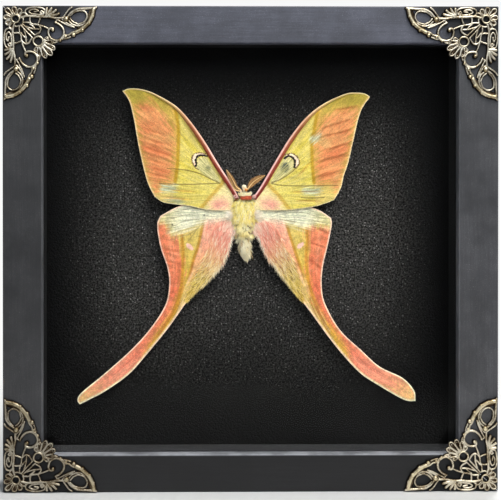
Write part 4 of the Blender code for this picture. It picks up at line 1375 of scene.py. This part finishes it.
# ---------------------------------------------------------------- brass filigree corners
# One corner's own axes, in millimetres: u along an arm from the frame's outer corner, v towards the
# opening. Every stroke below is drawn on the u arm, and its mirror across the diagonal on the v arm.
BRASS_STEP = 0.16
BRASS_SIZE = 47.4
BRASS_EDGE = 0.45  # thickness at the foot of every stroke
LINE = (0.62, 1.3)  # a stroke's half width and the height of its crest
BOLD = (0.80, 1.6)
FINGER = (0.92, 1.65)
PLATE = (1.6, 0.85)  # the flat web between the rim and the teardrop opening
DAISY = (6.3, 6.3)
SHELL = (17.6, 17.6)
BRASS_STROKES = [
    (BOLD, [(9.0, 5.6), (12.4, 4.9), (17.5, 5.3), (22.3, 5.3), (26.2, 6.0), (29.9, 6.0)]),
    (LINE, [
        (12.6, 4.9), (11.2, 3.4), (11.6, 1.6), (14.0, 0.7),
        (17.2, 0.6), (20.2, 1.3), (21.0, 3.0), (19.6, 4.6),
    ]),
    (LINE, [
        (19.2, 4.4), (16.5, 4.2), (14.2, 3.8), (13.0, 2.8),
        (14.2, 1.8), (16.4, 1.7), (17.6, 2.5), (15.6, 2.9),
    ]),
    (LINE, [(19.2, 2.4), (20.2, 3.2), (19.6, 3.9), (18.6, 3.4), (19.2, 2.4)]),
    (FINGER, [(21.6, 4.6), (21.7, 2.8), (21.9, 1.2)]),
    (FINGER, [(22.0, 4.4), (23.2, 2.8), (24.2, 1.2)]),
    (FINGER, [(22.6, 4.6), (24.8, 3.4), (26.4, 2.0)]),
    (FINGER, [(22.8, 4.9), (25.4, 4.6), (27.8, 3.9)]),
    (LINE, [(29.9, 6.0), (31.4, 3.8), (33.0, 1.6), (34.4, 0.6)]),
    (BOLD, [(32.4, 5.4), (34.2, 3.2), (37.2, 1.5), (41.0, 1.2), (44.2, 1.0), (46.6, 0.7)]),
    (LINE, [
        (33.6, 4.8), (35.4, 3.2), (37.8, 2.4), (40.6, 2.5),
        (42.0, 4.2), (41.8, 6.2), (40.4, 8.0), (37.4, 9.0),
    ]),
    (LINE, [(33.0, 7.4), (34.4, 8.9), (36.6, 9.8), (39.0, 9.6), (41.8, 8.2)]),
    (LINE, [(33.6, 6.2), (35.0, 7.8), (37.4, 9.0)]),
    (PLATE, [(44.6, 2.4), (43.7, 5.0), (42.6, 7.2), (40.6, 9.4), (38.4, 10.8)]),
    ((1.35, 2.0), [(45.4, 1.6), (44.9, 4.3), (43.6, 7.3), (41.4, 9.8), (38.7, 11.9), (36.6, 13.0)]),
    ((0.7, 1.7), [(36.4, 12.6), (34.6, 13.2), (33.0, 14.4), (31.0, 14.8), (29.8, 16.4), (27.6, 17.2)]),
    (LINE, [(33.8, 15.4), (32.2, 16.0), (30.6, 16.4)]),
    (BOLD, [
        (25.0, 11.2), (23.4, 11.2), (22.7, 13.2), (23.6, 15.8), (26.0, 17.2), (28.6, 16.6), (30.4, 14.4),
        (30.2, 11.6), (28.4, 9.4), (26.2, 8.2),
    ]),
    (LINE, [(26.2, 8.2), (27.0, 7.0), (28.0, 6.2)]),
    (LINE, [(17.4, 9.4), (19.8, 10.0), (22.6, 11.2)]),
    (LINE, [(27.0, 6.8), (30.0, 8.4), (33.0, 9.8), (35.6, 10.6)]),
    (LINE, [(29.6, 6.6), (32.0, 8.6), (34.6, 9.8)]),
    (LINE, [(27.0, 18.0), (25.4, 18.4), (24.2, 17.2)]),
    (LINE, [(10.0, 8.2), (12.4, 8.2), (15.0, 9.0), (17.4, 9.4), (18.9, 11.2), (18.3, 13.0), (15.8, 14.6)]),
    (LINE, [(13.6, 5.2), (13.4, 7.0), (13.8, 8.6)]),
    (LINE, [(18.7, 5.6), (18.2, 7.4), (17.4, 9.2)]),
    (LINE, [(9.6, 9.0), (12.4, 11.4), (15.6, 14.4)]),
    (LINE, [(11.6, 10.4), (15.0, 11.4), (18.0, 11.6)]),
    (LINE, [(13.4, 9.0), (15.0, 10.2), (16.0, 11.4)]),
    (LINE, [(10.0, 6.0), (10.2, 7.0), (9.8, 8.4)]),
]
# Each bead's place, radius and crest, then each ring's place, radius, half width and crest.
BRASS_BALLS = [
    ((31.6, 6.5), 1.65, 2.3), ((35.3, 14.4), 1.3, 2.1), ((24.9, 11.9), 1.15, 1.9), ((46.3, 0.9), 0.8, 1.6),
    ((45.1, 4.9), 1.1, 2.0), ((43.2, 8.5), 1.2, 2.1), ((39.8, 12.0), 1.15, 2.1), ((31.4, 15.3), 1.0, 2.0),
    ((28.6, 17.3), 0.95, 1.9),
]
BRASS_RINGS = [(DAISY, 1.95, 0.62, 1.75), (SHELL, 2.4, 0.7, 1.75)]
DIAGONAL = 45  # degrees from the u arm to the line of symmetry
DAISY_PETAL, DAISY_SWELL = 5.5, 1.6  # a petal's reach, and how much further the foremost one goes
DAISY_LINE, DAISY_FLOOR = (0.6, 1.25), (0.8, 0.8)  # as LINE, for a petal's loop and the floor inside it
SHELL_PETAL = 9.7  # the longest petal's reach
SHELL_LINE, SHELL_FLOOR, SHELL_BEAD = (0.55, 1.4), (0.95, 0.75), (0.5, 1.6)
BRASS_GAP = 0.03  # between the ornament's foot and the wood


def about(centre, degrees, places):
    """Places (along, aside) from a centre, turned to an angle."""
    along, aside = np.array(places, float).T
    cos, sin = math.cos(math.radians(degrees)), math.sin(math.radians(degrees))
    return np.array(centre) + np.stack([along * cos - aside * sin, along * sin + aside * cos], 1)


def petal(centre, degrees, start, end, half):
    """A long loop that leaves a centre along an angle and comes back to it."""
    shares = ((0, 0.18), (0.3, 0.62), (0.65, 1.0), (0.9, 0.75), (1.0, 0.0))
    outline = [(start + (end - start) * s, half * w) for s, w in shares]
    outline += [(a, -w) for a, w in outline[-2::-1]]
    return path(about(centre, degrees, outline), 0.5)


def spoke(centre, degrees, start, end):
    """A straight run outward from a centre: the low floor inside a petal."""
    return about(centre, degrees, [(a, 0) for a in np.linspace(start, end, 6)])


def dot(place):
    """A run so short that it stands as a round bead."""
    return np.array([place, np.array(place) + 0.01])


def brass_lines():
    """Every stroke of the corner: half width, crest height and smooth path."""
    lines = [(*kind, path(points, 0.5)) for kind, points in BRASS_STROKES]
    for turn in range(-108, 109, 36):
        facing = DIAGONAL + 180 + turn
        length = DAISY_PETAL + DAISY_SWELL * math.cos(math.radians(turn)) ** 6
        lines.append((*DAISY_LINE, petal(DAISY, facing, 2.1, length, 1.05)))
        lines.append((*DAISY_FLOOR, spoke(DAISY, facing, 2.2, length - 0.8)))
    for turn in range(-60, 61, 20):
        facing, shorter = DIAGONAL + turn, math.cos(math.radians(turn) * 0.95)
        length = SHELL_PETAL * shorter
        tip = 0.86 * length
        lines.append((*SHELL_LINE, petal(SHELL, facing, 3.0, length, 1.15 - abs(turn) * 0.004)))
        lines.append((*SHELL_FLOOR, spoke(SHELL, facing, 4.5, 8.6 * shorter)))
        lines.append((*SHELL_BEAD, dot(*about(SHELL, facing, [(tip, 0)]))))
    for centre, radius, half, crest in BRASS_RINGS:
        turns = np.linspace(0, 2 * math.pi, 40)
        ring = np.array(centre) + radius * np.stack([np.cos(turns), np.sin(turns)], 1)
        lines.append((half, crest, ring))
    for centre, radius, crest in BRASS_BALLS:
        lines.append((radius, crest, dot(centre)))
    return lines


def brass_relief():
    """Height, rounded crest share and signed distance of the openwork on a square grid."""
    count = int(BRASS_SIZE / BRASS_STEP) + 3
    level = (np.arange(count) - 1) * BRASS_STEP
    inside_by = np.full((count, count), -9.0)
    height = np.full((count, count), BRASS_EDGE)
    crest_share = np.zeros((count, count))
    for half, crest, run in brass_lines():
        low = np.clip(((run.min(0) - half) / BRASS_STEP).astype(int) - 2, 0, count)
        high = np.clip(((run.max(0) + half) / BRASS_STEP).astype(int) + 5, 0, count)
        u, v = np.meshgrid(level[low[0]:high[0]], level[low[1]:high[1]], indexing="ij")
        distance = measure(np.stack([u.ravel(), v.ravel()], 1), run)[0].reshape(u.shape)
        window = (slice(low[0], high[0]), slice(low[1], high[1]))
        round_share = np.sqrt(np.clip(1 - (distance / half) ** 2, 0, 1))
        tall = BRASS_EDGE + (crest - BRASS_EDGE) * round_share
        taller = tall > height[window]
        worn_share = round_share * min(1, crest / 1.2)
        crest_share[window] = np.where(taller, worn_share, crest_share[window])
        height[window] = np.maximum(height[window], tall)
        inside_by[window] = np.maximum(inside_by[window], half - distance)
    mirrored = height.T > height
    height = np.maximum(height, height.T)
    crest_share = np.where(mirrored, crest_share.T, crest_share)
    inside_by = np.maximum(inside_by, inside_by.T)
    return level, inside_by, height, crest_share


def brass_mesh():
    """The openwork as points (u, v, height), faces and crest shares, with its edge snapped smooth."""
    level, inside_by, height, crest_share = brass_relief()
    count = len(level)
    middle = (inside_by[:-1, :-1] + inside_by[1:, :-1] + inside_by[1:, 1:] + inside_by[:-1, 1:]) / 4
    full = middle > 0
    slope_u, slope_v = np.gradient(inside_by, BRASS_STEP)
    steep = np.maximum(np.hypot(slope_u, slope_v), 0.3)
    uses = np.zeros((count, count), int)
    for i, j in ((0, 0), (1, 0), (1, 1), (0, 1)):
        uses[i : count - 1 + i, j : count - 1 + j] += full
    rim = (uses > 0) & (uses < 4)
    shift = np.where(rim, np.clip(-inside_by, -BRASS_STEP, BRASS_STEP) / steep, 0)
    u = level[:, None] + shift * slope_u / steep
    v = level[None, :] + shift * slope_v / steep
    height = np.where(rim, BRASS_EDGE, height)
    crest_share = np.where(rim, 0, crest_share)
    number = np.full((count, count), -1)
    number[uses > 0] = np.arange((uses > 0).sum())
    kept = uses > 0
    tops = np.stack([np.maximum(u, 0.05)[kept], np.maximum(v, 0.05)[kept], height[kept]], 1)
    i, j = np.nonzero(full)
    faces = np.stack([number[i, j], number[i + 1, j], number[i + 1, j + 1], number[i, j + 1]], 1)
    feet = tops * (1, 1, 0)
    size = len(tops)
    sides = [(b, a, a + size, b + size) for a, b in rim_edges(faces)]
    every = [*faces.tolist(), *(faces[:, ::-1] + size).tolist(), *sides]
    crest = np.concatenate([crest_share[kept], np.zeros(size)])
    return np.vstack([tops, feet]), every, crest, tops[:, 2]


def antique_brass():
    """Rubbed brass: worn crests, brown patina at the foot of every stroke, painted shade at lower left."""
    made = Finish("antique_brass", Metallic=1.0)
    cloud = made.noise(0.22, 4.0, 0.6)
    pits = made.noise(2.2, 3.0, 0.6)
    worn = made.field("crest") + made.band(cloud, 0.3, 0.7, -0.22, 0.12)
    worn += made.band(pits, 0.3, 0.7, -0.1, 0.1)
    grey = made.ramp(worn, [(0.25, "#140f0b"), (0.55, "#48392a"), (0.78, "#a29276"), (0.94, "#eee4ce")])
    gilt = made.ramp(worn, [(0.2, "#2c2012"), (0.65, "#ac9260"), (0.95, "#f6e4b4")])
    # painted shade: the lower left corner, furthest from the light, made darker
    lower_left_shade = made.band(made.axis("X"), -60, -90) * made.band(made.axis("Z"), 70, 40)
    colour = made.coats(grey, (made.band("bold", 1.5, 1.9, 0.0, 0.55), gilt), (lower_left_shade * 0.42, "#3c2e24"))
    rough = made.band(worn, 0.2, 0.9, 0.58, 0.38)
    return made.drive(Base_Color=colour, Roughness=rough, Normal=made.bump(pits, 0.06, 0.5))


def add_corners():
    points, faces, crest, tops = brass_mesh()
    fields = {"crest": crest, "bold": np.concatenate([tops, np.zeros(len(tops))])}
    finish = antique_brass()
    foot = FRONT_Y - BRASS_GAP * MM
    for vertical in ("top", "bottom"):
        for side in SIDES:
            low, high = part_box(f"corner_{vertical}_{side}")
            u, v, height = points.T * MM
            x = low[0] + u if side == "left" else high[0] - u
            z = low[2] + v if vertical == "bottom" else high[2] - v
            verts = np.stack([x, foot - height, z], 1)
            mirrored = (side == "left") == (vertical == "top")
            shown = [face[::-1] for face in faces] if mirrored else faces
            name = f"filigree_{vertical}_{side}"
            piece = smooth_object(name, verts, shown, finish, fields)
            piece.data.set_sharp_from_angle(angle=math.radians(55))
            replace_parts(piece, f"corner_{vertical}_{side}")


# ---------------------------------------------------------------- stage, lights, camera
FLOOR_REACH = 3.0
FLOOR_FADE = (130, 400)  # millimetres from the middle where the floor starts to fade and is gone


def stage():
    """A pale floor that ends softly in the white studio behind it."""
    mesh = bpy.data.meshes.new("floor")
    corners = [(x * FLOOR_REACH, y * FLOOR_REACH, 0) for x, y in ((-1, -1), (1, -1), (1, 1), (-1, 1))]
    mesh.from_pydata(corners, [], [(0, 1, 2, 3)])
    floor = bpy.data.objects.new("floor", mesh)
    bpy.context.scene.collection.objects.link(floor)
    made = Finish("pale_floor", Roughness=0.7)
    away = made.math("SQRT", made.axis("X") ** 2 + made.axis("Y") ** 2)
    made.clear_where(made.band(away, *FLOOR_FADE))
    tone = made.mix(made.noise(0.004), (0.92, 0.92, 0.91), (0.95, 0.95, 0.94))
    mesh.materials.append(made.drive(Base_Color=tone))


MIDDLE = (0, 0, 0.12)
# Each lamp's name, place, aim, size, watts and colour.
LAMPS = [
    ("key", (0.22, -0.38, 0.86), MIDDLE, (0.5, 0.5), 5.5, (1.0, 0.99, 0.97)),
    ("front", (0.3, -0.8, 0.66), MIDDLE, (0.44, 0.44), 1.1, (1.0, 0.98, 0.94)),
    ("sky", (0.06, -0.64, 0.46), (0, 0, 0.2), (0.7, 0.14), 1.0, (0.78, 0.88, 1.0)),
    ("fill", (-0.9, -0.9, 0.6), MIDDLE, (0.8, 0.8), 1.0, (1, 1, 1)),
    ("back", (0.5, 1.1, 0.8), MIDDLE, (0.8, 0.6), 16.0, (1, 1, 1)),
]
SKY_COLOUR, SKY_STRENGTH = (0.9, 0.93, 1.0, 1.0), 0.12  # what lights the part from all round
STUDIO_WHITE = 0.95  # what the camera sees behind it


def lights():
    for name, place, aim, size, watts, colour in LAMPS:
        data = bpy.data.lights.new(name, "AREA")
        data.shape = "RECTANGLE"
        data.size, data.size_y = size
        data.energy = watts
        data.color = colour
        lamp = bpy.data.objects.new(name, data)
        lamp.location = place
        lamp.rotation_euler = (Vector(aim) - Vector(place)).to_track_quat("-Z", "Y").to_euler()
        bpy.context.scene.collection.objects.link(lamp)
    world = bpy.data.worlds.new("studio")
    bpy.context.scene.world = world
    world.use_nodes = True
    nodes, links = world.node_tree.nodes, world.node_tree.links
    sky, seen = nodes["Background"], nodes.new("ShaderNodeBackground")
    sky.inputs["Color"].default_value = SKY_COLOUR
    sky.inputs["Strength"].default_value = SKY_STRENGTH
    seen.inputs["Color"].default_value = (1, 1, 1, 1)
    seen.inputs["Strength"].default_value = STUDIO_WHITE
    rays = nodes.new("ShaderNodeLightPath")
    both = nodes.new("ShaderNodeMixShader")
    links.new(rays.outputs["Is Camera Ray"], both.inputs[0])
    links.new(sky.outputs[0], both.inputs[1])
    links.new(seen.outputs[0], both.inputs[2])
    links.new(both.outputs[0], nodes["World Output"].inputs["Surface"])


CAMERA_OFFSET = Vector((-0.0456, -0.590, 0.1639))  # from the front face's lower middle
CAMERA_YAW = math.radians(0.67)
CAMERA_PITCH = math.radians(0.33)
CAMERA_LENS = 84.26
CAMERA_SHIFT = 0.152


def camera():
    data = bpy.data.cameras.new("camera")
    data.lens = CAMERA_LENS
    data.shift_x = CAMERA_SHIFT
    data.shift_y = -CAMERA_SHIFT
    eye = bpy.data.objects.new("camera", data)
    eye.location = Vector((0, FRONT_Y, 0)) + CAMERA_OFFSET
    eye.rotation_euler = (math.pi / 2 - CAMERA_PITCH, 0, -CAMERA_YAW)
    bpy.context.scene.collection.objects.link(eye)
    bpy.context.scene.camera = eye


# ---------------------------------------------------------------- frame, backing and hanger
# Each member's grain axis, inner edge, painted light level as red, green and blue (a lit or shaded
# copy of one finish), wear and painted highlight along the edge, and gloss.
WOODS = {
    "top_rail": ("x", OPENING_HIGH.z, (5.0, 5.2, 6.6), 0.0, 0.8),
    "bottom_rail": ("x", OPENING_LOW.z, (0.44, 0.43, 0.46), 1.0, 0.5),
    "left_stile": ("z", OPENING_LOW.x, (2.15, 2.13, 2.14), 0.22, 0.8),
    "right_stile": ("z", OPENING_HIGH.x, (3.75, 3.75, 3.9), 0.3, 0.8),
}


def finish_frame():
    for place, looks in WOODS.items():
        coat([f"frame_{place}"], black_wood(f"{place}_wood", *looks))
    coat(["glass_pane"], glass())
    coat(["background_board"], black_paper())
    coat([f"lining_{side}" for side in ("top", *SIDES)], black_card("black_card", 0.002, 0.012))
    # painted light: the bottom lining is a lighter copy of the black card, as it faces up to the light
    coat(["lining_bottom"], black_card("lit_bottom_card", 0.008, 0.06))


def steel_piece(node, suffix, verts, around, finish):
    """A steel piece from rings of points, in place of a plain solid."""
    faces = ring_faces(len(verts) // around, around, True)
    piece = smooth_object(f"{node}_{suffix}", np.array(verts), faces, finish)
    weld(piece.data)
    piece.data.set_sharp_from_angle(angle=math.radians(35))
    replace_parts(piece, node)


def pressed_tab(name, finish):
    """A steel point with clipped corners and a pressed bead."""
    low, high = (Vector(corner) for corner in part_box(name))
    middle, half = (low + high) / 2, (high - low) / 2
    clip, edge, bead = 1.2 * MM, 0.15 * MM, 0.35 * MM
    wide, tall = half.x, half.z
    outline = [(clip - wide, -tall), (wide - clip, -tall), (wide, clip - tall), (wide, tall - clip)]
    outline += [(-x, -z) for x, z in outline]
    # Each layer: how far in from the outline, and depth from the front to the back of the steel.
    layers = [
        (0, low.y), (0, high.y - edge), (edge, high.y), (1.9 * MM, high.y),
        (2.4 * MM, high.y + bead), (2.9 * MM, high.y + bead), (3.3 * MM, high.y),
    ]
    verts = []
    for inset, y in layers:
        share = 1 - inset / min(wide, tall)
        verts += [(middle.x + x * share, y, middle.z + z * share) for x, z in outline]
    steel_piece(name, "pressed", verts, len(outline), finish)


def domed_nail(name, finish):
    """A round-headed nail, its head a low dome."""
    low, high = (Vector(corner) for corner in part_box(name))
    middle, radius = (low + high) / 2, (high.x - low.x) / 2
    head, dome, around = 0.55 * MM, 0.35 * MM, 28
    shank = 0.45 * radius
    rings = [(shank, low.y), (shank, high.y - head), (radius, high.y - head), (radius, high.y - dome)]
    rings += [(radius * math.cos(a), high.y - dome * (1 - math.sin(a))) for a in np.linspace(0.3, 1.45, 6)]
    turns = [2 * math.pi * i / around for i in range(around)]
    verts = [(middle.x + r * math.cos(t), y, middle.z + r * math.sin(t)) for r, y in rings for t in turns]
    steel_piece(name, "domed", verts, around, finish)


def finish_back():
    coat(["backing_board"], fibreboard())
    coat(["sawtooth_hanger"], zinc("hanger_steel", (0.50, 0.50, 0.51)))
    tab_steel = zinc("tab_steel", (0.42, 0.43, 0.45))
    for edge in ("bottom", "top", *SIDES):
        for count in (1, 2):
            pressed_tab(f"tab_{edge}_{count}", tab_steel)
    nail_steel = zinc("nail_steel", (0.58, 0.55, 0.48))
    for side in SIDES:
        domed_nail(f"hanger_nail_{side}", nail_steel)


bpy.context.scene.view_settings.view_transform = "Standard"
camera()
stage()
lights()
finish_frame()
finish_back()
finish_moth()
add_corners()
